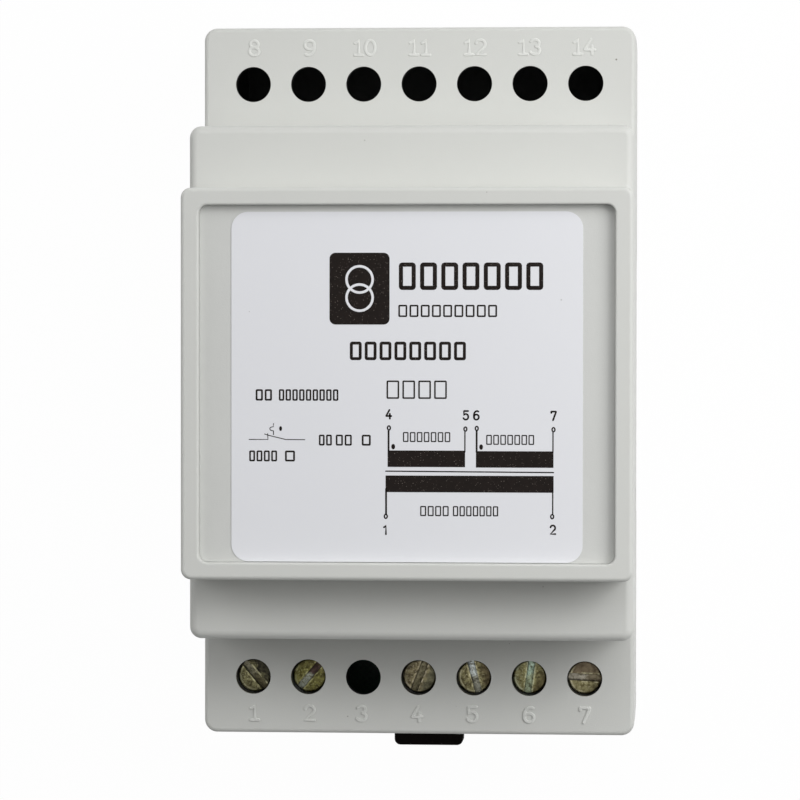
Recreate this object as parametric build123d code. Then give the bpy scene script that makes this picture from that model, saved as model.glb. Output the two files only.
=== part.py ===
from build123d import *
import os

# DIN rail transformer, three modules wide, in millimetres
# X runs along the rail, Y up the face of the device, Z from the mounting plane to the nose
# The origin is the middle of the rail channel, in the mounting plane

# Case
case_width = 53.5
case_length = 90.0
case_corner = 1.6
wall = 1.8
split_level = 16.0
terminal_level = 35.0
mid_level = 50.0
nose_level = 58.0
end_draft = 1.2
mid_length = 61.8
mid_corner = 1.4
nose_length = 46.4
nose_corner = 1.2
terminal_edge = 0.5
mid_edge = 1.0
nose_edge = 0.5
base_edge = 0.4
inner_corner = 0.4
overcut = 1.0

# Nose frame, front panel and label
frame_band = 2.05
frame_side_band = 2.15
recess_depth = 1.3
recess_corner = 1.0
recess_lip = 0.25
panel_thickness = 1.2
panel_gap = 0.03
panel_ledge = 1.7
ledge_thickness = 1.5
panel_hook_width = 6.0
panel_hook_spacing = 30.0
panel_hook_thickness = 1.0
panel_hook_barb = 0.5
panel_hook_root = 0.5
panel_hook_slope = 0.1
panel_hook_lead = 1.0
label_width = 41.6
label_length = 41.4
label_corner = 2.0
label_offset = -0.35
label_thickness = 0.1

# Joint between base and cover
lip_height = 1.5
lip_thickness = 0.8
lip_gap = 0.1
lip_corner = 0.8
snap_width = 6.0
snap_thickness = 1.2
snap_height = 6.0
snap_barb = 1.2
snap_barb_height = 2.0
snap_spacing = 34.0
snap_gap = 0.2
snap_barb_slope = 0.1
snap_barb_land = 0.6
snap_tip_lean = 0.3

# Top hat rail and the hook that holds it
rail_width = 35.0
rail_play = 0.2
seat_level = 5.0
flange_slot = 1.3
flange_grip = 2.0
hook_lead = 1.7

# Rail clip
clip_centre = -0.7
clip_width = 9.1
clip_low = 0.6
clip_seat_gap = 0.1
clip_reach = 3.8
clip_travel = 4.0
clip_gap = 0.25
clip_wing = 1.75
clip_wing_thickness = 1.4
clip_tab_corner = 0.8
clip_head_width = 19.0
clip_head_length = 4.2
clip_nose_rise = 0.2
clip_nose_depth = 0.6
clip_nose_lead = 0.4
clip_arm_spread = 4.4
clip_arm_length = 8.0
clip_arm_thickness = 1.0
clip_arm_inset = 0.6
clip_arm_sunk = 1.2
clip_arm_step = 0.3
clip_bow_out = 2.86
clip_bow_back = 2.4
tool_notch_width = 4.4
tool_notch_length = 1.2
tool_notch_depth = 1.1

# Screw terminals
pole_pitch = 6.875
pole_count = 7
row_inset = 6.97
screw_hole_gap = 0.11
mains_poles = [1, 2]
output_poles = [4, 5, 6, 7]
entry_width = 4.8
entry_height = 5.0
entry_drop = 1.2
knockout_depth = 0.8

# Terminal screw
head_diameter = 4.14
head_height = 1.8
head_sink = 2.0
head_bevel = 0.18
slot_width = 0.88
slot_depth = 0.9
shank_diameter = 2.9
thread_gap = 0.05
tip_gap = 0.15
shank_sunk = 0.5
shank_point = 0.3
slot_turn = {1: 130.0, 2: 50.0, 4: 68.0, 5: 105.0, 6: 82.0, 7: -3.0}

# Clamp cage and contact bar
cage_length = 5.4
cage_side = 0.8
cage_top = 2.4
cage_bottom = 1.0
cage_travel = 3.0
cage_gap = 0.2
cage_roof_gap = 0.3
cage_edge = 0.4
bar_width = 3.2
bar_thickness = 1.2
bar_high = 23.5
bar_pin_width = 1.2
bar_overhang = 0.4
bar_bend = 0.96
bar_shoulder = 1.0

# Terminal block
block_margin = 3.3
block_end_gap = 0.25
block_back_wall = 2.8
block_roof = 1.4
block_edge = 0.3
block_step = 0.4
head_well_gap = 0.13
shank_hole_gap = 0.2

# Circuit board
floor_thickness = 2.0
boss_height = 5.4
board_thickness = 1.6
board_side_gap = 1.75
board_end_gap = 1.0
board_top_reach = 30.0
board_corner = 1.0
boss_diameter = 5.6
boss_inset = 3.2
boss_row = 25.5
board_screw_diameter = 2.2
board_screw_length = 6.0
board_screw_head = 4.0
board_screw_head_height = 1.6
board_screw_recess = 0.8
board_screw_dome = 0.8
board_screw_point = 0.5
cross_length = 2.4
cross_width = 0.6
board_hole_gap = 0.15
fastener_gap = 0.03

# Laminated core
core_length = 54.0
core_width = 45.0
core_stack = 18.8
limb = 9.0
rib_size = 3.0
rib_width = 2.0
rib_gap = 0.3
core_gap = 0.2

# Coil
bobbin_wall = 1.0
barrel_corner = 0.4
bobbin_end_gap = 0.2
flange_gap = 0.2
flange_rise = 2.0
primary_build = 6.4
secondary_build = 3.1
tape_thickness = 0.3
winding_gap = 0.1
winding_corner = 1.2
pin_diameter = 0.9
pin_count = 5
pin_spacing = 6.0
pin_rail_depth = 6.0
pin_rail_height = 5.0
pin_rail_end = 3.0
pin_sunk = 4.0
pin_proud = 0.8
cutout_length = 9.0
cutout_width = 6.0
cutout_height = 1.8
cutout_corner = 0.6

# Places worked out from the sizes above
half_width = case_width / 2
half_length = case_length / 2
inner_half_width = half_width - wall
terminal_half_length = half_length - end_draft
recess_floor = nose_level - recess_depth
panel_low = recess_floor - panel_thickness
ledge_low = panel_low - ledge_thickness
recess_width = case_width - 2 * frame_side_band
recess_length = nose_length - 2 * frame_band
row_y = terminal_half_length - row_inset
rail_half = rail_width / 2
hook_tip = rail_half - flange_grip
channel_half = rail_half + rail_play
clip_high = seat_level - flange_slot - clip_seat_gap
inner_floor = seat_level + floor_thickness
board_low = inner_floor + boss_height
board_top = board_low + board_thickness
board_half_width = inner_half_width - board_side_gap
board_end = half_length - wall - board_end_gap
boss_x = board_half_width - boss_inset
screw_hole_diameter = head_diameter + 2 * screw_hole_gap
bar_low = bar_high - bar_thickness
head_top = terminal_level - head_sink
head_low = head_top - head_height
cage_roof_low = bar_high + cage_roof_gap
cage_floor_high = bar_low - cage_travel - cage_gap
entry_low = cage_floor_high - entry_drop
cage_width = bar_width + 2 * cage_gap + 2 * cage_side
cage_front = -row_y - cage_length / 2
cage_back = -row_y + cage_length / 2
pocket_front = cage_front - cage_gap
pocket_back = cage_back + cage_gap
pocket_roof = head_low - cage_gap - block_roof
block_back = pocket_back + block_back_wall
block_top = head_top - block_step
leg_front = block_back + cage_gap
leg_back = leg_front + bar_thickness
window_length = core_width - 2 * limb
barrel_half_y = limb + core_gap + bobbin_wall
barrel_half_z = core_stack / 2 + core_gap + bobbin_wall
winding_room = 2 * limb - flange_gap - barrel_half_y
flange_half_y = barrel_half_y + winding_room
flange_half_z = barrel_half_z + winding_room
coil_level = board_top + flange_rise + flange_half_z
core_low = coil_level - core_stack / 2
core_high = core_low + core_stack
bobbin_half = window_length / 2 - bobbin_end_gap
chamber = bobbin_half - 1.5 * bobbin_wall


def block(low, high):
    size = Vector(*high) - Vector(*low)
    middle = (Vector(*high) + Vector(*low)) * 0.5
    return Pos(middle.X, middle.Y, middle.Z) * Box(size.X, size.Y, size.Z)


def rounded_block(width, length, low, high, corner):
    return Pos(0, 0, low) * extrude(RectangleRounded(width, length, corner), high - low)


def round_top(solid, radius):
    return fillet(solid.edges().group_by(Axis.Z)[-1], radius)


def pole_x(pole):
    return (pole - (pole_count + 1) / 2) * pole_pitch


def end_y(level):
    # The end walls stand upright up to the split, then lean in up to the terminal level
    lean = (level - split_level) / (terminal_level - split_level)
    return half_length - end_draft * max(lean, 0.0)


def drafted_block(inset, low, high, corner):
    sections = [
        Pos(0, 0, level) * RectangleRounded(case_width - 2 * inset, 2 * (end_y(level) - inset), corner)
        for level in (low, high)
    ]
    return loft(Sketch() + sections, ruled=True)


def tube_along_x(low_x, high_x, half_y, half_z, build, corner):
    # Rectangular tube round the barrel of the bobbin, with rounded outer corners
    outer = Plane.YZ * RectangleRounded(2 * (half_y + build), 2 * (half_z + build), corner + build / 2)
    inner = Plane.YZ * RectangleRounded(2 * half_y, 2 * half_z, corner / 4)
    tube = extrude(outer, high_x - low_x) - extrude(inner, high_x - low_x)
    return Pos(low_x, 0, coil_level) * tube


def snap_places():
    return [(side, y) for side in (-1, 1) for y in (-snap_spacing / 2, snap_spacing / 2)]


def boss_places():
    return [(x, y) for x in (-boss_x, boss_x) for y in (-boss_row, boss_row)]


def pin_places():
    rail_x = bobbin_half + pin_rail_end
    first = -(pin_count - 1) / 2 * pin_spacing
    return [(side * rail_x, first + i * pin_spacing) for side in (-1, 1) for i in range(pin_count)]


# Base housing

def rail_channel():
    # Prism of the space that the rail fills, with the hook's lip left standing at its upper edge
    lip_top = seat_level - flange_slot
    profile = Plane.YZ * Polygon(
        (-channel_half, -overcut),
        (-channel_half, seat_level),
        (channel_half, seat_level),
        (channel_half, lip_top),
        (hook_tip, lip_top),
        (hook_tip, hook_lead),
        (hook_tip + hook_lead + overcut, -overcut),
        align=None,
    )
    return extrude(profile, half_width + overcut, both=True)


def clip_room():
    # Space in the lower foot that the clip slides in, open to the back
    roof = clip_high + 2 * clip_gap
    head_half = clip_head_width / 2 + clip_arm_spread + clip_arm_thickness + clip_gap
    pocket_end = -channel_half - clip_head_length - clip_arm_length - clip_travel - 2 * clip_gap
    stem_half = clip_width / 2 + clip_gap
    room = block((-head_half, pocket_end, -overcut), (head_half, -channel_half + overcut, roof))
    room += block((-stem_half, -half_length - overcut, -overcut), (stem_half, pocket_end + overcut, roof))
    wing_low = clip_high - clip_wing_thickness - clip_gap
    wing_half = stem_half + clip_wing
    room += block((-wing_half, -half_length - overcut, wing_low), (wing_half, pocket_end + overcut, roof))
    return Pos(clip_centre, 0, 0) * room


def snap_tongue(side, y):
    # Upright tongue with a sloped barb that catches in a window of the cover's side wall
    outer = inner_half_width - snap_gap
    barb_low = split_level + lip_height + 2 * snap_gap
    profile = Plane.XZ * Polygon(
        (outer - snap_thickness, inner_floor - overcut),
        (outer, inner_floor - overcut),
        (outer, barb_low),
        (outer + snap_barb, barb_low + snap_barb_slope),
        (outer + snap_barb, barb_low + snap_barb_slope + snap_barb_land),
        (outer, barb_low + snap_barb_height),
        (outer - snap_tip_lean, split_level + snap_height),
        (outer - snap_thickness, split_level + snap_height),
        align=None,
    )
    tongue = Pos(0, y, 0) * extrude(profile, snap_width / 2, both=True)
    return tongue if side > 0 else mirror(tongue, Plane.YZ)


def make_base_housing():
    body = rounded_block(case_width, case_length, 0, split_level, case_corner)
    body = fillet(body.edges().group_by(Axis.Z)[0], base_edge)
    inner_y = half_length - wall
    body -= block((-inner_half_width, -inner_y, inner_floor),
                  (inner_half_width, inner_y, split_level + overcut))
    upper_foot = channel_half + wall
    foot_top = inner_floor + overcut
    body -= block((-inner_half_width, upper_foot, floor_thickness), (inner_half_width, inner_y, foot_top))
    clip_side = clip_head_width / 2 + clip_arm_spread + clip_arm_thickness + clip_gap + wall
    low_x = clip_centre - clip_side
    high_x = clip_centre + clip_side
    body -= block((-inner_half_width, -inner_y, floor_thickness), (low_x, -upper_foot, foot_top))
    body -= block((high_x, -inner_y, floor_thickness), (inner_half_width, -upper_foot, foot_top))
    lip_outer = wall - lip_thickness
    lip = drafted_block(lip_outer, split_level - overcut, split_level + lip_height, lip_corner)
    lip -= drafted_block(wall, split_level - 2 * overcut, split_level + lip_height + overcut, inner_corner)
    body += lip
    for side, y in snap_places():
        body += snap_tongue(side, y)
    for x, y in boss_places():
        height = board_low - floor_thickness / 2
        body += Pos(x, y, board_low - height / 2) * Cylinder(boss_diameter / 2, height)
        pilot = board_screw_length - board_thickness + overcut
        hole = Cylinder(board_screw_diameter / 2 + fastener_gap, pilot)
        body -= Pos(x, y, board_low - pilot / 2) * hole
    body -= rail_channel()
    body -= clip_room()
    return body


# Upper cover

def make_upper_cover():
    body = round_top(drafted_block(0, split_level, terminal_level, case_corner), terminal_edge)
    mid = rounded_block(case_width, mid_length, terminal_level - wall, mid_level, mid_corner)
    body += round_top(mid, mid_edge)
    nose = rounded_block(case_width, nose_length, mid_level - wall, nose_level, nose_corner)
    body += round_top(nose, nose_edge)
    body -= drafted_block(wall, split_level - overcut, terminal_level - wall, inner_corner)
    mid_inner = mid_length / 2 - wall
    nose_inner = nose_length / 2 - wall
    body -= block((-inner_half_width, -mid_inner, split_level),
                  (inner_half_width, mid_inner, mid_level - wall))
    body -= block((-inner_half_width, -nose_inner, split_level),
                  (inner_half_width, nose_inner, ledge_low))
    window_x = recess_width / 2 - panel_ledge
    window_y = recess_length / 2 - panel_ledge
    body -= block((-window_x, -window_y, ledge_low - overcut),
                  (window_x, window_y, panel_low + overcut))
    body -= rounded_block(recess_width, recess_length, panel_low, nose_level + overcut, recess_corner)
    rim_x = (recess_width + case_width) / 4
    rim_y = (recess_length + nose_length) / 4
    top_edges = body.edges().group_by(Axis.Z)[-1]
    rim = [edge for edge in top_edges if abs(edge.center().X) < rim_x and abs(edge.center().Y) < rim_y]
    body = fillet(rim, recess_lip)
    rebate_top = split_level + lip_height + lip_gap
    rebate = drafted_block(wall - lip_thickness - lip_gap, split_level - overcut, rebate_top, lip_corner)
    body -= rebate
    for side, y in snap_places():
        window_low = split_level + lip_height + snap_gap
        window_high = window_low + snap_barb_height + 2 * snap_gap
        window_half = snap_width / 2 + snap_gap
        low_x, high_x = sorted((side * (inner_half_width - overcut), side * (half_width + overcut)))
        body -= block((low_x, y - window_half, window_low), (high_x, y + window_half, window_high))
    for pole in range(1, pole_count + 1):
        for side in (-1, 1):
            hole = Cylinder(screw_hole_diameter / 2, wall + 2 * overcut)
            body -= Pos(pole_x(pole), side * row_y, terminal_level - wall / 2) * hole
            fitted = side < 0 and pole in mains_poles + output_poles
            body -= end_wall_cut(pole, side, wall + overcut if fitted else knockout_depth)
    # Four ribs that keep the core down
    rib_x = core_width / 2 - rib_size
    rib_y = core_length / 2 - rib_size
    rib_low = core_high + rib_gap
    rib_high = mid_level - wall / 2
    for x, y in [(-rib_x, -rib_y), (-rib_x, rib_y), (rib_x, -rib_y), (rib_x, rib_y)]:
        body += block((x - rib_width / 2, y - rib_size / 2, rib_low),
                      (x + rib_width / 2, y + rib_size / 2, rib_high))
    return body


def end_wall_cut(pole, side, depth):
    # Wire entry through the end wall, or a blind knock-out where depth is less than the wall
    middle = entry_low + entry_height / 2
    near = side * (end_y(middle) - depth)
    far = side * (half_length + overcut)
    low_y, high_y = sorted((near, far))
    x = pole_x(pole)
    return block((x - entry_width / 2, low_y, entry_low),
                 (x + entry_width / 2, high_y, entry_low + entry_height))


# Front panel and label

def make_front_panel():
    width = recess_width - 2 * panel_gap
    length = recess_length - 2 * panel_gap
    body = rounded_block(width, length, panel_low, recess_floor, recess_corner - panel_gap)
    edge_y = recess_length / 2 - panel_ledge - panel_gap
    catch = ledge_low - panel_gap
    hook_low = catch - panel_hook_slope - panel_hook_lead
    hook = Plane.YZ * Polygon(
        (edge_y - panel_hook_thickness, panel_low + panel_hook_root),
        (edge_y, panel_low + panel_hook_root),
        (edge_y, catch),
        (edge_y + panel_hook_barb, catch - panel_hook_slope),
        (edge_y, hook_low),
        (edge_y - panel_hook_thickness, hook_low),
        align=None,
    )
    for x in (-panel_hook_spacing / 2, panel_hook_spacing / 2):
        arm = Pos(x, 0, 0) * extrude(hook, panel_hook_width / 2, both=True)
        body += arm
        body += mirror(arm, Plane.XZ)
    return body


def make_rating_label():
    label_top = recess_floor + label_thickness
    label = rounded_block(label_width, label_length, recess_floor, label_top, label_corner)
    return Pos(0, label_offset, 0) * label


# Rail clip

def make_rail_clip():
    tip = -half_length - clip_reach
    head_inner = -channel_half - clip_gap
    head_outer = head_inner - clip_head_length
    stem = block((-clip_width / 2, tip, clip_low), (clip_width / 2, head_outer + overcut, clip_high))
    stem = fillet(stem.edges().filter_by(Axis.Z).group_by(Axis.Y)[0], clip_tab_corner)
    wing_half = clip_width / 2 + clip_wing
    wing_end = -half_length + clip_travel + clip_gap
    wing_low = clip_high - clip_wing_thickness
    body = stem + block((-wing_half, wing_end, wing_low), (wing_half, head_outer + overcut, clip_high))
    head_half = clip_head_width / 2
    body += block((-head_half, head_outer, clip_low), (head_half, head_inner, clip_high))
    nose_top = clip_high + clip_nose_rise
    nose_root = head_inner - overcut
    nose = Plane.YZ * Polygon(
        (nose_root, clip_high),
        (nose_root + clip_nose_rise, nose_top),
        (-hook_tip, nose_top),
        (-hook_tip, nose_top - clip_nose_depth),
        (head_inner, clip_low + clip_nose_lead),
        (nose_root, clip_low),
        align=None,
    )
    body += extrude(nose, head_half, both=True)
    start = (head_half - clip_arm_inset, head_outer + clip_arm_sunk)
    through = (head_half + clip_bow_out, head_outer - clip_bow_back)
    end = (head_half + clip_arm_spread, head_outer - clip_arm_length + clip_arm_thickness)
    arm_height = clip_high - clip_low - 2 * clip_arm_step
    arm = extrude(trace(ThreePointArc(start, through, end), clip_arm_thickness), arm_height)
    arm = Pos(0, 0, clip_low + clip_arm_step) * arm
    body += arm
    body += mirror(arm, Plane.YZ)
    notch_y = -half_length - clip_reach / 2
    body -= block((-tool_notch_width / 2, notch_y - tool_notch_length / 2, clip_low - overcut),
                  (tool_notch_width / 2, notch_y + tool_notch_length / 2, clip_low + tool_notch_depth))
    return Pos(clip_centre, 0, 0) * body


# Screw terminals

def make_terminal_screw(pole):
    head = Pos(0, 0, head_low + head_height / 2) * Cylinder(head_diameter / 2, head_height)
    head = chamfer(head.edges().group_by(Axis.Z)[-1], head_bevel)
    slot = Box(head_diameter + overcut, slot_width, slot_depth * 2)
    head -= Pos(0, 0, head_top) * Rot(0, 0, slot_turn[pole]) * slot
    tip = bar_high + tip_gap
    shank_top = head_low + shank_sunk
    shank = Cylinder(shank_diameter / 2, shank_top - tip)
    shank = chamfer(shank.edges().group_by(Axis.Z)[0], shank_point)
    screw = head + Pos(0, 0, (shank_top + tip) / 2) * shank
    return Pos(pole_x(pole), -row_y, 0) * screw


def make_clamp_cage(pole):
    half = cage_width / 2
    top = cage_roof_low + cage_top
    bottom = cage_floor_high - cage_bottom
    body = block((-half, -cage_length / 2, bottom), (half, cage_length / 2, top))
    body = fillet(body.edges().filter_by(Axis.Y), cage_edge)
    window_half = half - cage_side
    body -= block((-window_half, -cage_length, cage_floor_high), (window_half, cage_length, cage_roof_low))
    thread = Cylinder(shank_diameter / 2 + thread_gap, cage_top + overcut)
    body -= Pos(0, 0, cage_roof_low + cage_top / 2) * thread
    return Pos(pole_x(pole), -row_y, 0) * body


def make_contact_bar(pole):
    half = bar_width / 2
    front = cage_front + bar_overhang
    body = block((-half, front, bar_low), (half, leg_back, bar_high))
    shoulder = board_top + bar_shoulder
    body += block((-half, leg_front, shoulder), (half, leg_back, bar_high))
    pin_half = bar_pin_width / 2
    body += block((-pin_half, leg_front, board_low - pin_proud), (pin_half, leg_back, shoulder))
    top_edges = body.edges().filter_by(Axis.X).group_by(Axis.Z)[-1]
    outer_bend = [edge for edge in top_edges if edge.center().Y > leg_front]
    body = fillet(outer_bend, bar_bend)
    return Pos(pole_x(pole), 0, 0) * body


def make_terminal_block(poles):
    low_x = pole_x(poles[0]) - block_margin
    high_x = pole_x(poles[-1]) + block_margin
    block_front = wall + block_end_gap - end_y(block_top)
    body = block((low_x, block_front, board_top), (high_x, block_back, block_top))
    body = chamfer(body.edges().group_by(Axis.Z)[-1], block_edge)
    for pole in poles:
        x = pole_x(pole)
        pocket_half = cage_width / 2 + cage_gap
        body -= block((x - pocket_half, pocket_front, board_top - overcut),
                      (x + pocket_half, pocket_back, pocket_roof))
        entry_half = entry_width / 2
        body -= block((x - entry_half, block_front - overcut, entry_low),
                      (x + entry_half, pocket_front + overcut, entry_low + entry_height))
        slot_half = bar_width / 2 + cage_gap
        body -= block((x - slot_half, pocket_back - overcut, bar_low - cage_gap),
                      (x + slot_half, block_back + overcut, bar_high + cage_gap))
        well_low = head_low - cage_gap
        well = Cylinder(head_diameter / 2 + head_well_gap, block_top + overcut - well_low)
        body -= Pos(x, -row_y, (block_top + overcut + well_low) / 2) * well
        hole = Cylinder(shank_diameter / 2 + shank_hole_gap, block_roof + 2 * overcut)
        body -= Pos(x, -row_y, pocket_roof + block_roof / 2) * hole
    return body


# Circuit board

def make_circuit_board():
    length = board_end + board_top_reach
    middle = (board_top_reach - board_end) / 2
    body = Pos(0, middle, 0) * rounded_block(2 * board_half_width, length, board_low, board_top, board_corner)
    for x, y in boss_places():
        screw_hole = Cylinder(board_screw_diameter / 2 + board_hole_gap, 3 * board_thickness)
        body -= Pos(x, y, board_low) * screw_hole
    for x, y in pin_places():
        body -= Pos(x, y, board_low) * Cylinder(pin_diameter / 2 + fastener_gap, 3 * board_thickness)
    for pole in mains_poles + output_poles:
        half = bar_pin_width / 2 + fastener_gap
        x = pole_x(pole)
        body -= block((x - half, leg_front - fastener_gap, board_low - overcut),
                      (x + half, leg_back + fastener_gap, board_top + overcut))
    return body


def make_board_screws():
    screws = Part()
    for x, y in boss_places():
        head = Cylinder(board_screw_head / 2, board_screw_head_height)
        head = Pos(0, 0, board_top + board_screw_head_height / 2) * head
        head = fillet(head.edges().group_by(Axis.Z)[-1], board_screw_dome)
        for turn in (0, 90):
            cross = Box(cross_length, cross_width, board_screw_recess * 2)
            head -= Pos(0, 0, board_top + board_screw_head_height) * Rot(0, 0, turn) * cross
        shank = Cylinder(board_screw_diameter / 2, board_screw_length)
        shank = chamfer(shank.edges().group_by(Axis.Z)[0], board_screw_point)
        screw = head + Pos(0, 0, board_top - board_screw_length / 2) * shank
        screws += Pos(x, y, 0) * screw
    return screws


# Transformer

def make_core_e():
    low_x = -core_width / 2
    body = block((low_x, -core_length / 2, core_low), (core_width / 2 - limb, core_length / 2, core_high))
    for side in (-1, 1):
        near, far = sorted((side * limb, side * 2 * limb))
        body -= block((low_x + limb, near, core_low - overcut), (core_width / 2, far, core_high + overcut))
    return body


def make_core_i():
    return block((core_width / 2 - limb, -core_length / 2, core_low),
                 (core_width / 2, core_length / 2, core_high))


def make_coil_bobbin():
    hole_y = barrel_half_y - bobbin_wall
    hole_z = barrel_half_z - bobbin_wall
    body = tube_along_x(-bobbin_half, bobbin_half, hole_y, hole_z, bobbin_wall, barrel_corner)
    for x in (-bobbin_half, -bobbin_wall / 2, bobbin_half - bobbin_wall):
        flange = block((x, -flange_half_y, coil_level - flange_half_z),
                       (x + bobbin_wall, flange_half_y, coil_level + flange_half_z))
        body += flange - block((x - overcut, -hole_y, coil_level - hole_z),
                               (x + bobbin_wall + overcut, hole_y, coil_level + hole_z))
    rail_half = (pin_count - 1) / 2 * pin_spacing + pin_rail_end
    for side in (-1, 1):
        near, far = sorted((side * (bobbin_half - bobbin_wall), side * (bobbin_half + pin_rail_depth)))
        body += block((near, -rail_half, board_top), (far, rail_half, board_top + pin_rail_height))
    for x, y in pin_places():
        pin_hole = Cylinder(pin_diameter / 2 + fastener_gap, pin_sunk + overcut)
        body -= Pos(x, y, board_top + (pin_sunk - overcut) / 2) * pin_hole
    return body


def make_primary_winding():
    return tube_along_x(-chamber - bobbin_wall / 2 + winding_gap, -bobbin_wall / 2 - winding_gap,
                        barrel_half_y + winding_gap, barrel_half_z + winding_gap,
                        primary_build, winding_corner)


def make_secondary_winding(layer):
    gap = winding_gap + layer * (secondary_build + winding_gap)
    return tube_along_x(bobbin_wall / 2 + winding_gap, chamber + bobbin_wall / 2 - winding_gap,
                        barrel_half_y + gap, barrel_half_z + gap, secondary_build, winding_corner)


def make_tape(side):
    build = primary_build if side < 0 else 2 * secondary_build + winding_gap
    near = bobbin_wall / 2 + winding_gap
    far = chamber + bobbin_wall / 2 - winding_gap
    low_x, high_x = sorted((side * near, side * far))
    outer_y = barrel_half_y + winding_gap + build
    outer_z = barrel_half_z + winding_gap + build
    layer = build if side < 0 else secondary_build
    corner = winding_corner + layer / 2
    outer = Plane.YZ * RectangleRounded(2 * (outer_y + tape_thickness), 2 * (outer_z + tape_thickness),
                                        corner + tape_thickness)
    inner = Plane.YZ * RectangleRounded(2 * outer_y, 2 * outer_z, corner)
    tape = extrude(outer, high_x - low_x) - extrude(inner, high_x - low_x)
    return Pos(low_x, 0, coil_level) * tape


def make_transformer_pins():
    pins = Part()
    for x, y in pin_places():
        length = pin_sunk + board_thickness + pin_proud
        pin = Cylinder(pin_diameter / 2, length)
        pins += Pos(x, y, board_low - pin_proud + length / 2) * pin
    return pins


def make_thermal_cutout():
    seat = coil_level + barrel_half_z + winding_gap + primary_build + tape_thickness
    middle_x = -bobbin_wall / 2 - chamber / 2
    body = rounded_block(cutout_length, cutout_width, seat, seat + cutout_height, cutout_corner)
    body = fillet(body.edges().group_by(Axis.Z)[-1], cutout_corner / 2)
    return Pos(middle_x, 0, 0) * body


pieces = {
    "base_housing": make_base_housing(),
    "upper_cover": make_upper_cover(),
    "front_panel": make_front_panel(),
    "rating_label": make_rating_label(),
    "rail_clip": make_rail_clip(),
    "terminal_block_mains": make_terminal_block(mains_poles),
    "terminal_block_output": make_terminal_block(output_poles),
    "circuit_board": make_circuit_board(),
    "board_screws": make_board_screws(),
    "core_e_laminations": make_core_e(),
    "core_i_laminations": make_core_i(),
    "coil_bobbin": make_coil_bobbin(),
    "primary_winding": make_primary_winding(),
    "secondary_winding_a": make_secondary_winding(0),
    "secondary_winding_b": make_secondary_winding(1),
    "primary_tape": make_tape(-1),
    "secondary_tape": make_tape(1),
    "transformer_pins": make_transformer_pins(),
    "thermal_cutout": make_thermal_cutout(),
}
for pole in mains_poles + output_poles:
    pieces[f"terminal_screw_{pole}"] = make_terminal_screw(pole)
    pieces[f"clamp_cage_{pole}"] = make_clamp_cage(pole)
    pieces[f"contact_bar_{pole}"] = make_contact_bar(pole)

os.makedirs("parts", exist_ok=True)
for name, piece in pieces.items():
    export_step(piece, f"parts/{name}.step")
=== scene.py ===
import math

import bmesh
import bpy
from mathutils import Matrix, Vector


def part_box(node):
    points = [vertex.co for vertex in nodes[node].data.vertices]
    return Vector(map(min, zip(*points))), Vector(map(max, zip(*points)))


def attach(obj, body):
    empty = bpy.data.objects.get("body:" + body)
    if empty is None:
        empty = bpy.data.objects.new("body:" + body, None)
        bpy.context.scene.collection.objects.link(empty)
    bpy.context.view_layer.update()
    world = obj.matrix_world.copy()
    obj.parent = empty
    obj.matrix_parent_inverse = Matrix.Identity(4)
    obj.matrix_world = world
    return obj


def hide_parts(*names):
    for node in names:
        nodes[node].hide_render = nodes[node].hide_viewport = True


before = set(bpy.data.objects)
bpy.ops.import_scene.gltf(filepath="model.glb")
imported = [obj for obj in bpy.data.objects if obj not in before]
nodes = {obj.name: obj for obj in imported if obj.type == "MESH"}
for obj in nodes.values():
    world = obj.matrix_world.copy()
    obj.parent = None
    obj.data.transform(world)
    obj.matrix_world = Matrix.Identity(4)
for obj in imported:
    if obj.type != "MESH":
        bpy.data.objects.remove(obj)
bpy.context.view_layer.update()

# DIN rail transformer: finishes, moulded numerals, printed label and wound parts, in metres
mm = 0.001
terminals = (1, 2, 4, 5, 6, 7)


def fromScreen(red, green, blue):
    # colours are noted as 0-255 screen values and stored linear
    def linear(value):
        share = value / 255
        return share / 12.92 if share <= 0.04045 else ((share + 0.055) / 1.055) ** 2.4
    return (linear(red), linear(green), linear(blue), 1.0)


# Node helpers

def addNode(tree, kind, inputs=None, **settings):
    node = tree.nodes.new(kind)
    for name, value in settings.items():
        setattr(node, name, value)
    for key, value in (inputs or {}).items():
        if isinstance(value, bpy.types.NodeSocket):
            tree.links.new(value, node.inputs[key])
        else:
            node.inputs[key].default_value = value
    return node


def calc(tree, operation, first, second=0.0, clamp=False):
    inputs = {0: first, 1: second}
    return addNode(tree, "ShaderNodeMath", inputs, operation=operation, use_clamp=clamp).outputs[0]


def calcVector(tree, operation, inputs):
    return addNode(tree, "ShaderNodeVectorMath", inputs, operation=operation).outputs[0]


def swing(tree, value, amount=1.0):
    # how far a noise lies from its middle, times an amount
    return calc(tree, "MULTIPLY", calc(tree, "SUBTRACT", value, 0.5), amount)


def mixColor(tree, factor, first, second):
    inputs = {0: factor, 6: first, 7: second}
    return addNode(tree, "ShaderNodeMix", inputs, data_type="RGBA").outputs[2]


def remap(tree, value, low, high, outLow=0.0, outHigh=1.0):
    inputs = {0: value, 1: low, 2: high, 3: outLow, 4: outHigh}
    return addNode(tree, "ShaderNodeMapRange", inputs, interpolation_type="SMOOTHSTEP").outputs[0]


def objectPlace(tree):
    return addNode(tree, "ShaderNodeTexCoord").outputs["Object"]


def noise(tree, place, scale, detail=2.0, roughness=0.5):
    inputs = {"Vector": place, "Scale": scale, "Detail": detail, "Roughness": roughness}
    return addNode(tree, "ShaderNodeTexNoise", inputs).outputs[0]


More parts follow.
